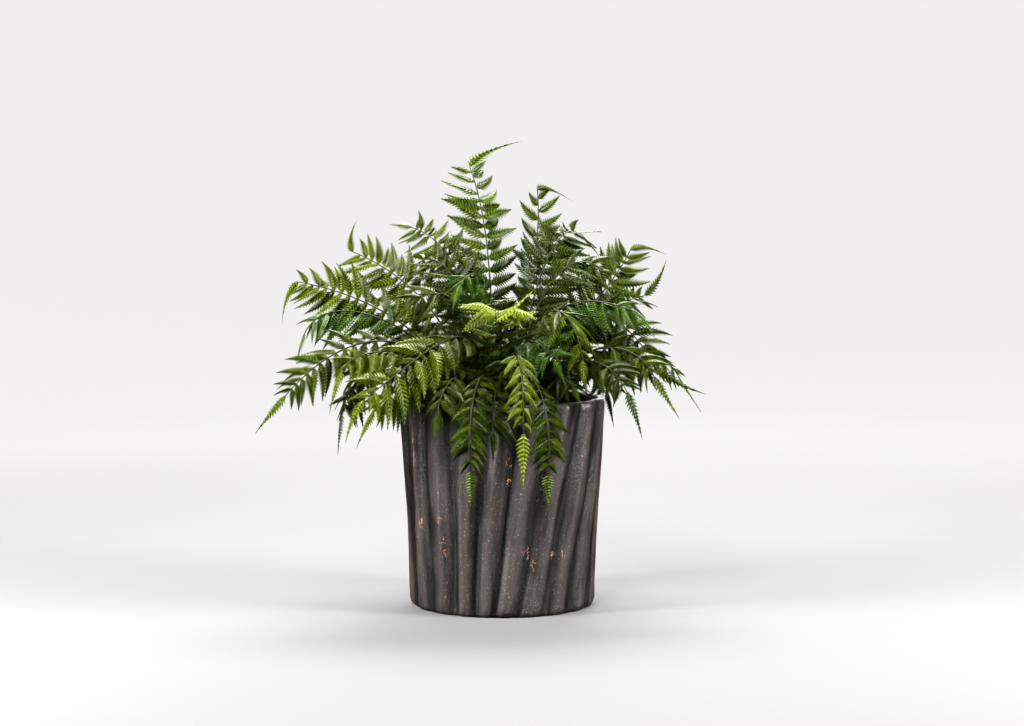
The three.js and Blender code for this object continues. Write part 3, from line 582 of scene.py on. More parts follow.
def grid_faces(rows: int, columns: int, wrap: bool = False) -> np.ndarray:
    """The triangles of a grid of points that are numbered row by row.

    Args:
        rows: Rows of points.
        columns: Points in a row.
        wrap: Whether the last point of a row joins the first.

    Returns:
        Triangles that face the side from which rows go up and columns to the right.
    """
    row = np.arange(rows - 1)[:, None]
    column = np.arange(columns if wrap else columns - 1)[None, :]
    here = row * columns + column
    beside = row * columns + (column + 1) % columns
    quads = np.stack([here, beside, beside + columns, here, beside + columns, here + columns], axis=-1)
    return quads.reshape(-1, 3)


def closed_faces(rows: int, columns: int) -> np.ndarray:
    """The triangles of a closed tube: rings of points, then the middle of its start and of its end.

    Args:
        rows: Rings of points.
        columns: Points in a ring.

    Returns:
        Its triangles, by ring and then those round the two middles.
    """
    here = np.arange(columns)
    beside = (here + 1) % columns
    last = (rows - 1) * columns
    middle = np.full_like(here, rows * columns)
    start = np.stack([middle, beside, here], axis=-1)
    end = np.stack([middle + 1, last + here, last + beside], axis=-1)
    return np.concatenate([grid_faces(rows, columns, wrap=True), start, end])


@dataclass(frozen=True)
class Frame:
    """A place on a stem: its point, the way along it, across it and up from it, and its radius."""

    point: np.ndarray
    along: np.ndarray
    across: np.ndarray
    up: np.ndarray
    radius: float


class Stem:
    """A frond's stem: a cubic through its root, knee, crest and end, with a foot in the soil."""

    RADIUS = 1.15
    TIP_RADIUS = 0.5
    ROOT_DEPTH = 22.0
    FACING_SPAN = (0.1, 0.6)
    DIVISIONS = 200
    SIDES = 8
    RINGS = 46
    TESTED_PLACES = 24
    TESTED_RADIUS = 1.2

    def __init__(self, row: Row, root_height: float) -> None:
        """Lays the curve through the row's places.

        Args:
            row: The places that the frond passes.
            root_height: The soil's height at its root, in millimetres.
        """
        self.facing = math.radians(row.face)
        azimuth = math.radians(row.azimuth)
        self.outward = np.array([math.cos(azimuth), math.sin(azimuth), 0.0])
        self.sideways = np.array([math.sin(azimuth), -math.cos(azimuth), 0.0])
        places = [(row.root, root_height), row.knee, row.crest, row.end]
        root, knee, crest, end = (self.place(*place) for place in places)
        rising = (-5 * root + 18 * knee - 9 * crest + 2 * end) / 6
        falling = (-5 * end + 18 * crest - 9 * knee + 2 * root) / 6
        self.handles = np.array([root, rising, falling, end])
        self.shares = np.linspace(0, 1, self.DIVISIONS + 1)
        points = np.array([self.curve(t)[0] for t in self.shares])
        steps = np.linalg.norm(np.diff(points, axis=0), axis=1)
        self.reached = np.concatenate([[0.0], np.cumsum(steps)])
        self.length = float(self.reached[-1])

    def place(self, r: float, z: float, aside: float = 0.0) -> np.ndarray:
        """A point in the stem's upright plane, or aside from it."""
        return self.outward * r + UPWARD * z + self.sideways * aside

    def curve(self, t: float) -> tuple[np.ndarray, np.ndarray]:
        """The cubic at a value of its parameter.

        Args:
            t: The parameter, from 0 to 1.

        Returns:
            The point, and the direction, of length 1.
        """
        s = 1 - t
        point = np.array([s**3, 3 * s * s * t, 3 * s * t * t, t**3]) @ self.handles
        direction = np.array([-s * s, s * s - 2 * s * t, 2 * s * t - t * t, t * t]) @ self.handles
        return point, direction / np.linalg.norm(direction)

    def frame(self, distance: float) -> Frame:
        """The frame at a place on the stem.

        Args:
            distance: How far along the stem; below zero it runs straight on into the soil.

        Returns:
            The frame.
        """
        t = float(np.interp(distance, self.reached, self.shares))
        share = min(max(distance / self.length, 0.0), 1.0)
        point, along = self.curve(t)
        roll = self.facing * np.sign(self.outward[0]) * blend(share, *self.FACING_SPAN)
        across = self.sideways * math.cos(roll) + np.cross(along, self.sideways) * math.sin(roll)
        radius = self.RADIUS + (self.TIP_RADIUS - self.RADIUS) * share
        point = point + along * min(distance, 0.0)
        return Frame(point, along, across, np.cross(across, along), radius)

    def add_to(self, shell: Shell, slot: int) -> None:
        """Adds the stem to a shell as a round tube with a pointed end.

        Args:
            shell: What it is added to.
            slot: The number of its material.
        """
        distances = np.concatenate([[-self.ROOT_DEPTH], np.linspace(0, self.length, self.RINGS - 1)])
        angles = np.arange(self.SIDES) * math.tau / self.SIDES
        rings = []
        for distance in distances:
            at = self.frame(distance)
            ring = np.outer(np.cos(angles), at.across) + np.outer(np.sin(angles), at.up)
            rings.append(at.point + ring * at.radius)
        ends = np.array([self.frame(distances[0]).point, self.frame(self.length).point])
        points = np.concatenate([*rings, ends])
        faces = closed_faces(self.RINGS, self.SIDES)
        growth = np.zeros_like(points)
        growth[:-2, 1] = np.repeat(np.clip(distances / self.length, 0, 1), self.SIDES)
        growth[-1, 1] = 1.0
        shell.add(points, faces, slot, growth=growth, blade=np.zeros_like(points))

    def stretches(self) -> tuple[np.ndarray, np.ndarray]:
        """The stem as a plain ribbon cross, for testing what passes it.

        Returns:
            Its points and its triangles.
        """
        frames = [self.frame(distance) for distance in np.linspace(0, self.length, self.TESTED_PLACES)]
        points = []
        for at in frames:
            for way in (at.across, at.up):
                points += [at.point - way * self.TESTED_RADIUS, at.point + way * self.TESTED_RADIUS]
        faces = []
        for i in range(len(frames) - 1):
            for first in (4 * i, 4 * i + 2):
                faces += [(first, first + 1, first + 5), (first, first + 5, first + 4)]
        return np.array(points), np.array(faces)


@dataclass(frozen=True)
class BladeShape:
    """The outline of a kind of leaflet: its breadth along its length, its teeth and its waves."""

    breadths: Table
    notch: float
    toothed: tuple[float, float]
    tail: tuple[float, ...]
    teeth: int = 10
    sweep: float = 0.14
    wave: float = 0.8
    pleat: float = 0.7
    columns: tuple[float, ...] = (-1.0, -0.7, -0.34, 0.0, 0.34, 0.7, 1.0)

    TOOTH_AT = 0.65

    def stations(self) -> tuple[np.ndarray, np.ndarray, np.ndarray]:
        """The rows of points along the blade.

        Returns:
            Their shares of the length, their places in teeth, and 1 at teeth and 0 elsewhere.
        """
        start, stop = self.toothed
        gap = (stop - start) / self.teeth
        places = [-start / gap, -start / gap / 2]
        for tooth in range(self.teeth):
            places += [float(tooth), tooth + self.TOOTH_AT]
        places += [(share - start) / gap for share in self.tail]
        place = np.array(places)
        tooth = np.zeros_like(place)
        tooth[3 : 2 * self.teeth + 2 : 2] = 1.0
        return start + place * gap, place, tooth

    def breadth(self, along: np.ndarray, tooth: np.ndarray) -> np.ndarray:
        """The outline's breadth, less at the notches between teeth.

        Args:
            along: Shares of the length.
            tooth: 1 at teeth and 0 elsewhere.

        Returns:
            Shares of the half width.
        """
        start, stop = self.toothed
        cut = (along >= start) & (along < stop) & (tooth == 0)
        return profile(self.breadths, along) * np.where(cut, self.notch, 1.0)


LEAFLET_BLADE = BladeShape(
    breadths=((0.0, 0.16), (0.04, 0.6), (0.1, 0.96), (0.2, 1.0), (0.4, 0.86), (0.6, 0.63), (0.78, 0.38),
              (0.9, 0.17), (0.96, 0.07), (1.0, 0.012)),
    notch=0.42, toothed=(0.05, 0.88), tail=(0.88, 0.93, 0.965, 1.0),
)
LOW_BLADE = replace(
    LEAFLET_BLADE, teeth=6, notch=0.46, tail=(0.88, 0.94, 1.0), columns=(-1.0, -0.55, 0.0, 0.55, 1.0),
)
END_BLADE = BladeShape(
    breadths=((0.0, 0.25), (0.04, 0.7), (0.1, 0.96), (0.2, 1.0), (0.35, 0.84), (0.5, 0.6), (0.65, 0.38),
              (0.77, 0.2), (0.86, 0.09), (1.0, 0.012)),
    notch=0.36, toothed=(0.03, 0.78), tail=(0.78, 0.82, 0.87, 0.93, 1.0), sweep=0.08, pleat=0.5,
)


@dataclass
class Leaflet:
    """One leaflet, whose places are given by a share of its length and of its half width.

    curl bends it down and sickle forward, as shares of its length; twist turns it about its rib, in
    radians; phase shifts its waves; tone and share, its place on the stem, are for the finish.
    """

    foot: np.ndarray
    direction: np.ndarray
    forward: np.ndarray
    up: np.ndarray
    length: float
    half_width: float
    curl: float
    sickle: float
    twist: float
    shape: BladeShape
    phase: float = 0.0
    tone: float = 0.5
    share: float = 1.0

    SAG = 0.1
    CUP = 1.9
    TWIST_DONE = 0.45
    THICKNESS = 0.34
    WAVES = 1.6
    NOTCH_SWEEP = 0.7
    SWEEP_FADE = 0.12
    TIP_TAPER, FOOT_TAPER = 0.08, 0.03
    TESTED_AT = (0.18, 0.4, 0.65, 0.85)

    def at(self, along: np.ndarray, across: np.ndarray, lift: np.ndarray | float = 0.0) -> np.ndarray:
        """Points of the blade.

        Args:
            along: Shares of the length.
            across: Shares of the half width, from -1 to 1.
            lift: Distances above the middle surface, in millimetres.

        Returns:
            The points, with 3 numbers in the last axis.
        """
        bend = self.length * along * along
        turn = self.twist * np.minimum(1.0, along / self.TWIST_DONE)
        aside = self.half_width * across
        above = lift - np.abs(across) * self.CUP
        forward = bend * self.sickle + aside * np.cos(turn) + above * np.sin(turn)
        upward = above * np.cos(turn) - aside * np.sin(turn) - bend * self.curl
        return (
            self.foot
            + (self.length * along)[..., None] * self.direction
            + forward[..., None] * self.forward
            + upward[..., None] * self.up
            - (bend * self.SAG)[..., None] * UPWARD
        )

    def add_to(self, shell: Shell, slot: int) -> None:
        """Adds the blade to a shell: an upper and a lower face that meet at its toothed edge.

        Args:
            shell: What it is added to.
            slot: The number of its material.
        """
        stations, place, tooth = self.shape.stations()
        breadth = self.shape.breadth(stations, tooth)
        columns = np.array(self.shape.columns)
        rows, width = len(stations), len(columns)
        across = breadth[:, None] * columns[None, :]
        sweep = self.shape.sweep * np.where(tooth == 1, 1.0, self.NOTCH_SWEEP)
        sweep = sweep * blend(1 - stations, 0.0, self.SWEEP_FADE)
        along = stations[:, None] + (sweep * breadth)[:, None] * np.abs(columns)[None, :]
        swell = np.sin(math.tau * (self.WAVES * along + self.phase))
        wave = self.shape.wave * swell * across * np.abs(across)
        pleat = self.shape.pleat * (tooth - 0.5)[:, None] * np.sin(math.pi * np.abs(columns))[None, :]
        taper = blend(1 - stations, 0.0, self.TIP_TAPER) * blend(stations, 0.0, self.FOOT_TAPER)
        half = taper[:, None] * (1 - columns**2)[None, :] * self.THICKNESS / 2
        upper = self.at(along, across, wave + pleat + half)
        lower = self.at(along, across, wave + pleat - half)
        inner = np.zeros((rows, width), bool)
        inner[1:-1, 1:-1] = True
        beneath = np.arange(rows * width).reshape(rows, width)
        beneath[inner] = rows * width + np.arange(inner.sum())
        faces = grid_faces(rows, width)
        below = beneath.ravel()[faces]
        if np.dot(np.cross(self.direction, self.forward), self.up) > 0:
            faces = faces[:, ::-1]
        else:
            below = below[:, ::-1]
        points = np.concatenate([upper.reshape(-1, 3), lower[inner]])
        places = np.repeat(place[:, None], width, 1)
        shares = np.stack([along, np.repeat(columns[None, :], rows, 0), places], -1)
        sides = np.where(inner, 0.0, 0.5)
        growth = np.stack([np.full_like(along, self.tone), np.full_like(along, self.share), sides], -1)
        under = growth[inner].copy()
        under[:, 2] = 1.0
        blades = np.concatenate([shares.reshape(-1, 3), shares[inner]])
        grown = np.concatenate([growth.reshape(-1, 3), under])
        shell.add(points, np.concatenate([faces, below]), slot, blade=blades, growth=grown)

    def outline(self, start: float, clearance: float) -> tuple[np.ndarray, np.ndarray]:
        """The blade from a share of its length on, in a few triangles, for testing what it passes.

        Args:
            start: Where it starts.
            clearance: How thick the tested blade is on each side; with 0 it is a plain sheet.

        Returns:
            Its points and its triangles.
        """
        stations = np.array([start, *(share for share in self.TESTED_AT if share > start), 1.0])
        breadth = profile(self.shape.breadths, stations)
        along = np.repeat(stations[:, None], 3, 1)
        across = breadth[:, None] * np.array([-1.0, 0.0, 1.0])[None, :]
        faces = grid_faces(len(stations), 3)
        if clearance == 0:
            return self.at(along, across).reshape(-1, 3), faces
        layers = [self.at(along, across, lift).reshape(-1, 3) for lift in (clearance, -clearance)]
        return np.concatenate(layers), np.concatenate([faces, faces + layers[0].shape[0]])


class Thicket:
    """What stands in a leaflet's way: the stems, end leaflets and leaflets that have grown."""

    MOST = 4000
    TESTED_FROM = 0.16
    OWN_TESTED_FROM = 0.1

    def __init__(self, keeps_off: Callable[[np.ndarray], bool]) -> None:
        """Starts with the pot and the soil.

        Args:
            keeps_off: Says whether all of some points are clear of the pot and the soil.
        """
        self.keeps_off = keeps_off
        self.trees: list[BVHTree] = []
        self.lows = np.zeros((self.MOST, 3))
        self.highs = np.zeros((self.MOST, 3))
        self.owners = np.zeros(self.MOST, int)

    def tree(self, points: np.ndarray, faces: np.ndarray) -> BVHTree:
        """A tree of triangles."""
        return BVHTree.FromPolygons(points.tolist(), faces.tolist(), all_triangles=True)

    def add(self, owner: int, points: np.ndarray, faces: np.ndarray) -> None:
        """Adds what a frond has grown.

        Args:
            owner: The frond's number.
            points: Corners of triangles.
            faces: The triangles.
        """
        at = len(self.trees)
        self.lows[at], self.highs[at], self.owners[at] = points.min(0), points.max(0), owner
        self.trees.append(self.tree(points, faces))

    def add_leaflet(self, owner: int, leaflet: Leaflet) -> None:
        """Adds a leaflet that a frond has grown, as a plain sheet."""
        self.add(owner, *leaflet.outline(self.OWN_TESTED_FROM, 0.0))

    def clear(self, owner: int, leaflet: Leaflet, clearance: float) -> bool:
        """Whether a leaflet has room.

        Args:
            owner: The number of its frond.
            leaflet: The leaflet.
            clearance: How far it keeps from other fronds; it only must not cross its own.

        Returns:
            Whether it crosses nothing that stands here, nor the pot or the soil.
        """
        points, faces = leaflet.outline(self.TESTED_FROM, clearance)
        if not self.keeps_off(points):
            return False
        count = len(self.trees)
        near = (self.lows[:count] < points.max(0)).all(1) & (self.highs[:count] > points.min(0)).all(1)
        if not near.any():
            return True
        thick = self.tree(points, faces)
        sheet = self.tree(*leaflet.outline(self.OWN_TESTED_FROM, 0.0))
        for at in np.flatnonzero(near):
            own = sheet if self.owners[at] == owner else thick
            if own.overlap(self.trees[at]):
                return False
        return True


class Growth(Enum):
    """The turns in which leaflets grow: the solid's, those across from them, and small ones lower down."""

    SOLID = 0
    ACROSS = 1
    LOW = 2


@dataclass
class Frond:
    """A frond: its stem, leaflets on both sides and one at the end."""

    row: Row
    index: int
    root_height: float
    stem: Stem = field(init=False)
    leaflets: list[Leaflet] = field(init=False, default_factory=list)

    LEAF_START = 0.36
    LOW_START = 0.11
    LOW_SPACING = 6.5
    SPACING = 9.2
    FEWEST = 9
    MOST = 17
    CROWDING = 0.4
    SIZES = ((-0.5, 0.74), (0.0, 0.84), (0.2, 1.08), (0.625, 1.08), (1.0, 0.44))
    ANGLES = (74.0, 56.0)
    HALF_WIDTH = 0.9
    WIDENING = 0.155
    END_HALF_WIDTH = 3.6
    END_WIDENING = 0.045
    STEEPEST = math.radians(72)
    SWINGS = (0, 8, -8, 16, -16, 26, -26, 38, -38)
    SHORTENINGS = (1.0, 0.85, 0.7)
    CLEARANCE = 0.8
    SUNK = 0.4  # share of the stem's radius where a leaflet's foot stands
    LEAF, STALK = 0, 1
    CREASE = 75.0
    TURN_SEEDS, FROND_SEEDS, SEGMENT_SEEDS, FIRST_LOOK_SEED = 500, 1000, 4, 407
    # What differs by chance between leaflets: in their shape, in their look, and more so lower down
    SHAPES = {"hang": (-12, 12), "angle": (-4, 4), "size": (0.9, 1.1), "curl": (0.05, 0.3)}
    LOOKS = {"sickle": (0.14, 0.4), "twist": (-0.4, 0.5), "phase": (0, 1), "tone": (0, 1)}
    LOW_SHAPES = {"hang": (-60, 60)}
    LOW_LOOKS = {"twist": (-1.0, 1.0)}

    def __post_init__(self) -> None:
        """Lays the stem and the end leaflet."""
        self.stem = Stem(self.row, self.root_height)
        self.leaf_start = self.stem.length * self.LEAF_START
        room = (self.stem.length - self.leaf_start) / self.SPACING
        self.count = math.floor(min(max(room, self.FEWEST), self.MOST) + 0.5)
        low_room = (self.LEAF_START - self.LOW_START) * self.stem.length
        self.low_count = math.floor(low_room / self.LOW_SPACING)
        self.twist = math.radians(self.row.twist)
        seeds = {order: self.index + 1 + self.TURN_SEEDS * order.value for order in Growth}
        self.chances = {order: Chances(seed) for order, seed in seeds.items()}
        self.end = self.end_leaflet()

    def distance_at(self, i: float) -> float:
        """Where a leafy segment starts.

        Args:
            i: The segment's number; those below zero lie under the plain part of the solid.

        Returns:
            The distance along the stem.
        """
        share = i / self.count
        if share < 0:
            return self.leaf_start + i * self.LOW_SPACING
        even = (self.stem.length - self.leaf_start) * share
        return self.leaf_start + even * (1 + self.CROWDING * (1 - share))

    def end_leaflet(self) -> Leaflet:
        """The leaflet at the end, bent so that it ends at the tip.

        Returns:
            The leaflet.
        """
        at = self.stem.frame(self.stem.length)
        reach = self.stem.place(*self.row.tip) - at.point
        span = float(np.linalg.norm(reach))
        reach = reach + UPWARD * span * Leaflet.SAG
        direction = at.along + reach / np.linalg.norm(reach)
        direction /= np.linalg.norm(direction)
        forward = np.cross(direction, at.up)
        forward /= np.linalg.norm(forward)
        up = np.cross(forward, direction)
        length = float(reach @ direction)
        return Leaflet(
            foot=at.point, direction=direction, forward=forward, up=up, length=length,
            half_width=(self.END_HALF_WIDTH + self.END_WIDENING * span) * self.row.breadth,
            curl=-float(reach @ up) / length, sickle=float(reach @ forward) / length, twist=self.twist,
            shape=END_BLADE, phase=0.3, tone=0.6,
        )

    def leaflet(self, i: int, side: int, chance: dict[str, float], swing: float, short: float) -> Leaflet:
        """The leaflet of segment i on one side.

        Args:
            i: The segment.
            side: 1 for the right and -1 for the left.
            chance: What differs by chance.
            swing: Degrees that it is turned about the stem.
            short: Share of its length that it keeps.

        Returns:
            The leaflet.
        """
        share = (i + 0.5) / self.count
        at = self.stem.frame((self.distance_at(i) + self.distance_at(i + 1)) / 2)
        droop = math.radians(self.row.hang + swing + chance["hang"])
        droop = min(max(droop, -self.STEEPEST), self.STEEPEST)
        out = at.across * side * math.cos(droop) - at.up * math.sin(droop)
        normal = at.up * math.cos(droop) + at.across * side * math.sin(droop)
        first, last = self.ANGLES
        angle = math.radians(first + (last - first) * share * share + chance["angle"])
        size = self.row.length * float(profile(self.SIZES, share))
        return Leaflet(
            foot=at.point + out * at.radius * self.SUNK,
            direction=out * math.sin(angle) + at.along * math.cos(angle),
            forward=at.along * math.sin(angle) - out * math.cos(angle),
            up=normal, length=size * chance["size"] * short,
            half_width=(self.HALF_WIDTH + size * self.WIDENING) * self.row.breadth,
            curl=chance["curl"], sickle=chance["sickle"], twist=self.twist + chance["twist"],
            shape=LOW_BLADE if i < 0 else LEAFLET_BLADE, phase=chance["phase"], tone=chance["tone"],
            share=max(share, 0.0),
        )

    def draw(self, i: int, side: int, order: Growth) -> dict[str, float]:
        """What differs by chance between leaflets.

        Args:
            i: The segment.
            side: 1 for the right and -1 for the left.
            order: The turn in which the leaflet grows.

        Returns:
            The numbers by name.
        """
        own = self.chances[order]
        look = Chances(self.index * self.FROND_SEEDS + i * self.SEGMENT_SEEDS + side + self.FIRST_LOOK_SEED)
        look.between(0, 1)
        low = order is Growth.LOW
        shapes = self.SHAPES | (self.LOW_SHAPES if low else {})
        looks = self.LOOKS | (self.LOW_LOOKS if low else {})
        chance = {name: own.between(*span) for name, span in shapes.items()}
        return chance | {name: look.between(*span) for name, span in looks.items()}

    def places(self, order: Growth) -> list[tuple[int, int]]:
        """The places that grow in one turn.

        Args:
            order: The turn.

        Returns:
            Segments and sides.
        """
        if order is Growth.LOW:
            return [(-i, side) for i in range(1, self.low_count + 1) for side in (1, -1)]
        first = 1 if order is Growth.SOLID else -1
        return [(i, first if i % 2 == 0 else -first) for i in range(self.count - 1)]

    def grow(self, thicket: Thicket, order: Growth) -> int:
        """Grows one turn's leaflets, each clear of what stands there already.

        Args:
            thicket: What stands there.
            order: The turn.

        Returns:
            How many found no room.
        """
        lost = 0
        for i, side in self.places(order):
            chance = self.draw(i, side, order)
            sizes = ((short, swing) for short in self.SHORTENINGS for swing in self.SWINGS)
            tries = (self.leaflet(i, side, chance, swing, short) for short, swing in sizes)
            grown = next((tried for tried in tries if thicket.clear(self.index, tried, self.CLEARANCE)), None)
            if grown is None:
                lost += 1
                continue
            self.leaflets.append(grown)
            thicket.add_leaflet(self.index, grown)
        return lost

    def build(self, leaf: bpy.types.Material, stalk: bpy.types.Material) -> bpy.types.Object:
        """Makes the frond's piece.

        Args:
            leaf: The leaflets' material.
            stalk: The stem's material.

        Returns:
            The piece.
        """
        shell = Shell()
        self.stem.add_to(shell, self.STALK)
        for leaflet in [*self.leaflets, self.end]:
            leaflet.add_to(shell, self.LEAF)
        return shell.build(f"fern_{self.row.name}", [leaf, stalk], self.CREASE)


@dataclass
class Pot:
    """The glazed pot: a flat foot, a wall with slanting flutes, and a rounded, scalloped rim."""

    height: float = 205.0
    floor: float = 14.0
    flutes: int = 18
    depth: float = 4.4
    depth_variation: float = 0.22
    variation_step: float = 2.4
    ridge_middle: float = 0.55
    sharpness: float = 1.5
    lean: float = 15.0
    lean_swing: float = 12.0
    lean_ripple: float = 4.0
    lean_centre: float = 0.35
    columns: int = 360
    outer: Table = (
        (0, 85.5), (5, 88.8), (63, 90.3), (100, 92.6), (141, 96), (180, 98.8), (202, 99.8), (205, 98.2),
    )
    easing: float = 7.0
    eased: tuple[float, float] = (6.0, 200.0)
    inner: Table = ((14, 80), (100, 83), (205, 90.8))
    first_flute: float = math.radians(-100)
    # How far the foot's edge draws in, by height
    foot_edge: Table = ((0, 3.4), (0.6, 1.9), (1.6, 1.0), (3.2, 0.4), (5.0, 0.1))
    rim_height: float = 6.0
    rim_rounding: float = 4.2
    lip_rounding: float = 3.0
    mean_radius: float = 94.0
    worn_radius: float = 92.0
    worn_half_width: float = 3.0
    # What leaflets keep off: the rim below a height, the wall between two radii, and the soil
    clear_above_rim: float = 1.5
    clear_outside: float = 92.0
    clear_ridge: float = 0.9
    clear_inside: float = 88.0
    clear_soil: float = 188.0
    # Where the glaze is worn: degrees to the right of the front, height, and half height of the spot
    worn: tuple[Place, ...] = (
        (-61, 170, 7), (-61, 150, 8), (-58, 86, 7), (-70, 76, 4), (-63, 71, 4), (-39, 91, 5), (-38, 69, 8),
        (-37, 60, 4), (4, 150, 6), (4, 131, 4), (15, 62, 7), (19, 50, 5), (33, 58, 4), (40, 60, 5),
    )

    def wall(self, z: np.ndarray) -> np.ndarray:
        """The outside's mean radius, eased over its corners.

        Args:
            z: Heights.

        Returns:
            The radii.
        """
        steps = np.linspace(-self.easing, self.easing, 7)
        return profile(self.outer, np.clip(z[:, None] + steps[None, :], *self.eased)).mean(1)

    def turn(self, angle: np.ndarray, z: np.ndarray) -> np.ndarray:
        """How far a flute has turned from the rim down to a height.

        Args:
            angle: Its place at the rim, in radians.
            z: The height.

        Returns:
            The turn in radians.
        """
        front = angle + math.pi / 2
        swing = self.lean_swing * np.sin(front - self.lean_centre) + self.lean_ripple * np.sin(3 * front)
        return np.radians(self.lean + swing) * (1 - z / self.height)

    def relief(self, at: np.ndarray) -> tuple[np.ndarray, np.ndarray]:
        """The flutes' relief.

        Args:
            at: Places round the rim, in flutes.

        Returns:
            The height of the relief, and the ridge's share of its whole depth.
        """
        ridge = np.abs(np.sin(math.pi * at)) ** self.sharpness
        depth = self.depth * (1 + self.depth_variation * np.sin((at - 0.5) * self.variation_step))
        return depth * (ridge - self.ridge_middle), ridge

    def outside(self) -> dict[str, np.ndarray]:
        """The outside, from the foot's edge to the rim.

        Returns:
            Rows of points and of what they carry.
        """
        edge, drawn = np.array(self.foot_edge).T
        shoulder = self.height - self.rim_height
        turns = np.linspace(0.18, 1, 9) * math.pi / 2
        heights = np.linspace(7, shoulder, 112)
        z = np.concatenate([edge, heights, shoulder + self.rim_height * np.sin(turns)])
        pull = np.concatenate([drawn, np.zeros_like(heights), self.rim_rounding * (1 - np.cos(turns))])
        place = np.arange(self.columns) / self.columns
        rim_angle = self.first_flute + place * math.tau
        wobble = 0.07 * np.sin(z / 31.0)[:, None] * np.sin(place * math.tau * 5 + 1.3)[None, :]
        relief, ridge = self.relief((place * self.flutes)[None, :] + wobble)
        angle = rim_angle[None, :] - self.turn(rim_angle[None, :], z[:, None])
        combed = 0.4 * np.sin(rim_angle * 31 + 1.5 * np.sin(z / 47.0)[:, None])
        combed = combed + 0.3 * np.sin(rim_angle * 47 - 1.2 * np.sin(z / 29.0 + 1)[:, None])
        uneven = 0.4 * np.sin(z / 23.0 + 1.0)[:, None] * np.sin(angle * 3)
        fade = blend(z, -6.0, 8.0)[:, None]
        radius = self.wall(z)[:, None] - pull[:, None] + (relief + combed) * fade + uneven
        flow = around(1.0, rim_angle, z[:, None] / 1000)
        return {
            "points": around(radius, angle, z[:, None]),
            "ware": np.stack([ridge, self.wear(angle, z), np.zeros_like(angle)], -1),
            "flow": flow * self.mean_radius * MM,
        }

    def wear(self, angle: np.ndarray, z: np.ndarray) -> np.ndarray:
        """How worn the glaze is.

        Args:
            angle: Places round the pot, in rows, in radians.
            z: The rows' heights.

        Returns:
            The wear at each place, from 0 to 1.
        """
        found = np.zeros_like(angle)
        for degrees, height, half in self.worn:
            centre = math.radians(degrees - 90)
            off = (np.mod(angle - centre + math.pi, math.tau) - math.pi) * self.worn_radius
            rise = (z[:, None] - height) / half
            found = np.maximum(found, np.exp(-((off / self.worn_half_width) ** 2) - rise**2))
        return found

    def inside(self) -> dict[str, np.ndarray]:
        """The inside, from the rim down to the floor.

        Returns:
            Rows of points and of what they carry.
        """
        lip = self.height - np.array([0.3, 1.4, 3.4, 6.0])
        z = np.concatenate([lip, np.linspace(193, self.floor, 14)])
        angle = self.first_flute + np.arange(self.columns) / self.columns * math.tau
        radius = (profile(self.inner, z) + self.lip_rounding * np.exp(-(self.height - z) / 2.4))[:, None]
        points = around(radius, angle, z[:, None])
        ware = np.zeros_like(points)
        ware[..., 2] = blend(self.height - z, 0.0, 8.0)[:, None]
        return {"points": points, "ware": ware, "flow": points * MM}

    def keeps_off(self, points: np.ndarray) -> bool:
        """Whether points are clear of the wall, the rim and the soil.

        Args:
            points: The points.

        Returns:
            Whether all of them are.
        """
        r = np.hypot(points[:, 0], points[:, 1])
        z = points[:, 2]
        over_rim = z > self.height + self.clear_above_rim
        ridges = profile(self.outer, z) + self.depth * self.clear_ridge
        outside = (r > self.clear_outside) & (r > ridges)
        over_soil = (r < self.clear_inside) & (z > self.clear_soil)
        return bool((over_rim | outside | over_soil).all())

    def build(self, glaze: bpy.types.Material) -> bpy.types.Object:
        """Makes the pot's piece.

        Args:
            glaze: Its material.

        Returns:
            The piece.
        """
        outside, inside = self.outside(), self.inside()
        count = len(outside["points"]) + len(inside["points"])
        ends = {name: np.zeros((2, 3)) for name in outside}
        ends["points"][1, 2] = self.floor
        whole = {}
        for name, end in ends.items():
            whole[name] = np.concatenate([outside[name].reshape(-1, 3), inside[name].reshape(-1, 3), end])
        points = whole.pop("points")
        shell = Shell()
        shell.add(points, closed_faces(count, self.columns), **whole)
        return shell.build("glazed_pot", [glaze], crease=50.0)


@dataclass
class Soil:
    """The soil that fills the pot, with a lumpy top that is a little higher in the middle."""

    bottom: float = 14.5
    edge: float = 184.0
    mound: float = 4.0
    gap: float = 0.5
    columns: int = 160
    rings: int = 48
    lump: float = 1.1
    # The lumps' sizes, and how far each size is shifted
    lumps: Table = ((4.1, 0.4), (2.3, 2.0), (7.9, 4.0))
    side_height: float = 100.0
    core: float = 1.5
    even_edge: float = 6.0

    def surface(self, pot: Pot, r: np.ndarray | float) -> np.ndarray | float:
        """The soil's height at a distance from the axis, without its lumps."""
        share = np.minimum(1.0, r / profile(pot.inner, self.edge))
        return self.edge + self.mound * (1 - share * share)

    def build(self, pot: Pot, finish: bpy.types.Material) -> bpy.types.Object:
        """Makes the soil's piece.

        Args:
            pot: The pot that it fills.
            finish: Its material.

        Returns:
            The piece.
        """
        rim = float(profile(pot.inner, self.edge)) - self.gap
        angle = np.arange(self.columns) * math.tau / self.columns
        r = np.linspace(rim, self.core, self.rings)[:, None]
        x, y = r * np.cos(angle), r * np.sin(angle)
        waves = sum(np.sin(x / size + turn) * np.sin(y / size - 2 * turn) for size, turn in self.lumps)
        z = self.surface(pot, r) + self.lump * waves * blend(rim - r, 0.0, self.even_edge) - self.lump
        side = np.array([[self.bottom], [self.side_height]])
        wall = around(profile(pot.inner, side) - self.gap, angle, side)
        rows = np.concatenate([wall, around(r, angle, z)])
        ends = np.array([[0.0, 0.0, self.bottom], [0.0, 0.0, self.edge + self.mound - self.lump]])
        shell = Shell()
        shell.add(np.concatenate([rows.reshape(-1, 3), ends]), closed_faces(len(rows), self.columns))
        return shell.build("potting_soil", [finish], crease=60.0)


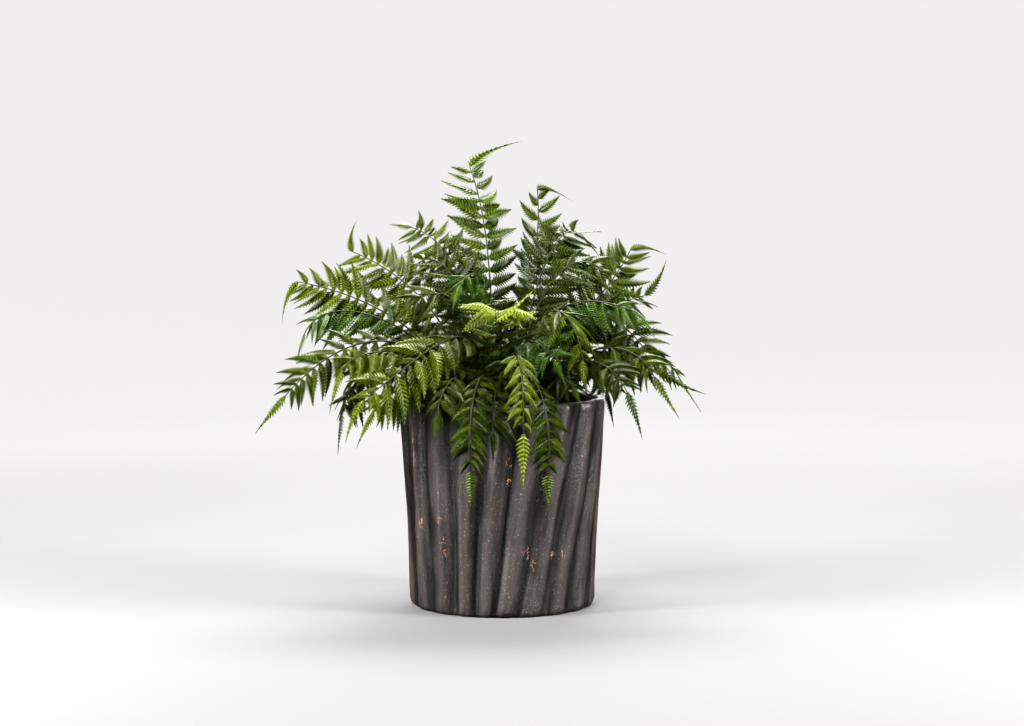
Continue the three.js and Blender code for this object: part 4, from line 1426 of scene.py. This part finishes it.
@dataclass(frozen=True)
class SoftBox:
    """A lamp behind a square of cloth: its place and size in metres, and its power in watts."""

    name: str
    place: Place
    size: tuple[float, float]
    power: float

    def hang(self, target: Place) -> None:
        """Hangs it so that it faces a point.

        Args:
            target: The point.
        """
        data = bpy.data.lights.new(self.name, "AREA")
        data.shape = "RECTANGLE"
        data.size, data.size_y = self.size
        data.energy = self.power
        box = bpy.data.objects.new(self.name, data)
        box.location = self.place
        aim = Vector(target) - Vector(self.place)
        box.rotation_euler = aim.to_track_quat("-Z", "Y").to_euler()
        bpy.context.scene.collection.objects.link(box)


@dataclass
class Studio:
    """The camera, a pale floor that curves up into a round backdrop, and soft lights, in metres."""

    camera_place: Place = (0.0093, -2.4, 0.405)
    tilt: float = math.radians(3.98)
    lens: float = 86.06
    sensor: float = 36.0
    floor_radius: float = 2.2
    bend: float = 0.9
    top: float = 5.0
    sides: int = 96
    floor_paper: Colour = (0.225, 0.222, 0.223)
    wall_paper: Colour = (0.03, 0.03, 0.03)
    floor_glow: Colour = (0.06, 0.06, 0.06)
    wall_glow: Colour = (0.61, 0.6, 0.603)
    fade: tuple[float, float] = (0.25, 1.8)
    lit: Place = (0.0, 0.0, 0.22)
    boxes: tuple[SoftBox, ...] = (
        SoftBox("soft_box_left", (-1.2, -0.6, 0.8), (0.3, 1.2), 30.0),
        SoftBox("soft_box_right", (1.2, -0.5, 0.8), (0.3, 1.2), 28.0),
        SoftBox("soft_box_top", (0.0, 1.0, 1.8), (1.1, 0.8), 56.0),
        SoftBox("soft_box_front", (-0.5, -1.6, 1.7), (0.6, 0.6), 28.0),
        SoftBox("soft_box_back", (0.4, 2.0, 1.2), (0.8, 0.8), 18.0),
    )
    room_light: float = 0.04

    def camera(self) -> None:
        """Sets the camera where the photograph was taken from."""
        data = bpy.data.cameras.new("camera")
        data.lens = self.lens
        data.sensor_width = self.sensor
        camera = bpy.data.objects.new("camera", data)
        camera.location = self.camera_place
        camera.rotation_euler = (math.pi / 2 - self.tilt, 0.0, 0.0)
        bpy.context.scene.collection.objects.link(camera)
        bpy.context.scene.camera = camera

    def sweep(self) -> None:
        """Lays the floor and backdrop as one round bowl that the part's lights and gloss don't see."""
        turns = np.linspace(0, math.pi / 2, 25)
        radii = [0.0, *(self.floor_radius + self.bend * np.sin(turns)), self.floor_radius + self.bend]
        heights = [0.0, *(self.bend * (1 - np.cos(turns))), self.top]
        angle = np.arange(self.sides) * math.tau / self.sides
        rings = [(r * math.cos(a), r * math.sin(a), z) for r, z in zip(radii, heights) for a in angle]
        mesh = bpy.data.meshes.new("sweep")
        mesh.from_pydata(rings, [], grid_faces(len(radii), self.sides, wrap=True)[:, ::-1].tolist())
        mesh.shade_smooth()
        surface = Surface("backdrop")
        x, y, height = surface.coordinates().parts()
        rise = ((x * x + y * y) ** 0.5 + height * 2).step(*self.fade)
        glow = surface.mix(rise, self.floor_glow, self.wall_glow)
        paper = surface.mix(rise, self.floor_paper, self.wall_paper)
        surface.set(
            Base_Color=paper,
            Roughness=0.9,
            Specular_IOR_Level=0.0,
            Emission_Color=glow,
            Emission_Strength=1.0,
        )
        mesh.materials.append(surface.material)
        sheet = bpy.data.objects.new("sweep", mesh)
        sheet.visible_diffuse = False
        sheet.visible_glossy = False
        bpy.context.scene.collection.objects.link(sheet)

    def lights(self) -> None:
        """Hangs the soft boxes and sets the light of the room and how the picture is developed."""
        for box in self.boxes:
            box.hang(self.lit)
        world = bpy.data.worlds.new("room")
        world.use_nodes = True
        inputs = world.node_tree.nodes["Background"].inputs
        inputs["Color"].default_value = (1.0, 1.0, 1.0, 1.0)
        inputs["Strength"].default_value = self.room_light
        scene = bpy.context.scene
        scene.world = world
        scene.view_settings.view_transform = "Standard"
        scene.view_settings.look = "High Contrast"

    def build(self) -> None:
        """Sets up the camera, the sweep and the lights."""
        self.camera()
        self.sweep()
        self.lights()


@dataclass
class Fern:
    """The whole part: the pot, the soil and the fronds."""

    pot: Pot = field(default_factory=Pot)
    soil: Soil = field(default_factory=Soil)

    def place(self, piece: bpy.types.Object, node: str, slot: str) -> None:
        """Puts a piece in the frame in place of a node.

        Args:
            piece: The piece.
            node: The node that it stands for.
            slot: Not used.
        """
        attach(piece, "root")
        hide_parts(node)
        LOG.info("%s: %d triangles", piece.name, len(piece.data.polygons))

    def build(self) -> None:
        """Builds every piece."""
        self.place(self.pot.build(GlazeFinish().material()), "pot", "glaze")
        self.place(self.soil.build(self.pot, SoilFinish().material()), "soil", "soil")
        leaves = {tone: tone.value.material() for tone in Tone}
        stalk = StemFinish().material()
        roots = [float(self.soil.surface(self.pot, row.root)) for row in ROWS]
        fronds = [Frond(row, index, root) for index, (row, root) in enumerate(zip(ROWS, roots))]
        thicket = Thicket(self.pot.keeps_off)
        for frond in fronds:
            thicket.add(frond.index, *frond.stem.stretches())
            thicket.add_leaflet(frond.index, frond.end)
        for order in Growth:
            lost = sum(frond.grow(thicket, order) for frond in fronds)
            LOG.info("%s leaflets: no room for %d", order.name.lower(), lost)
        for frond in fronds:
            piece = frond.build(leaves[frond.row.tone], stalk)
            self.place(piece, f"frond_{frond.row.name}", "leaf")


def main() -> None:
    """Builds the studio and the part."""
    logging.basicConfig(level=logging.INFO, format="%(message)s")
    Studio().build()
    Fern().build()


if __name__ == "__main__":
    main()
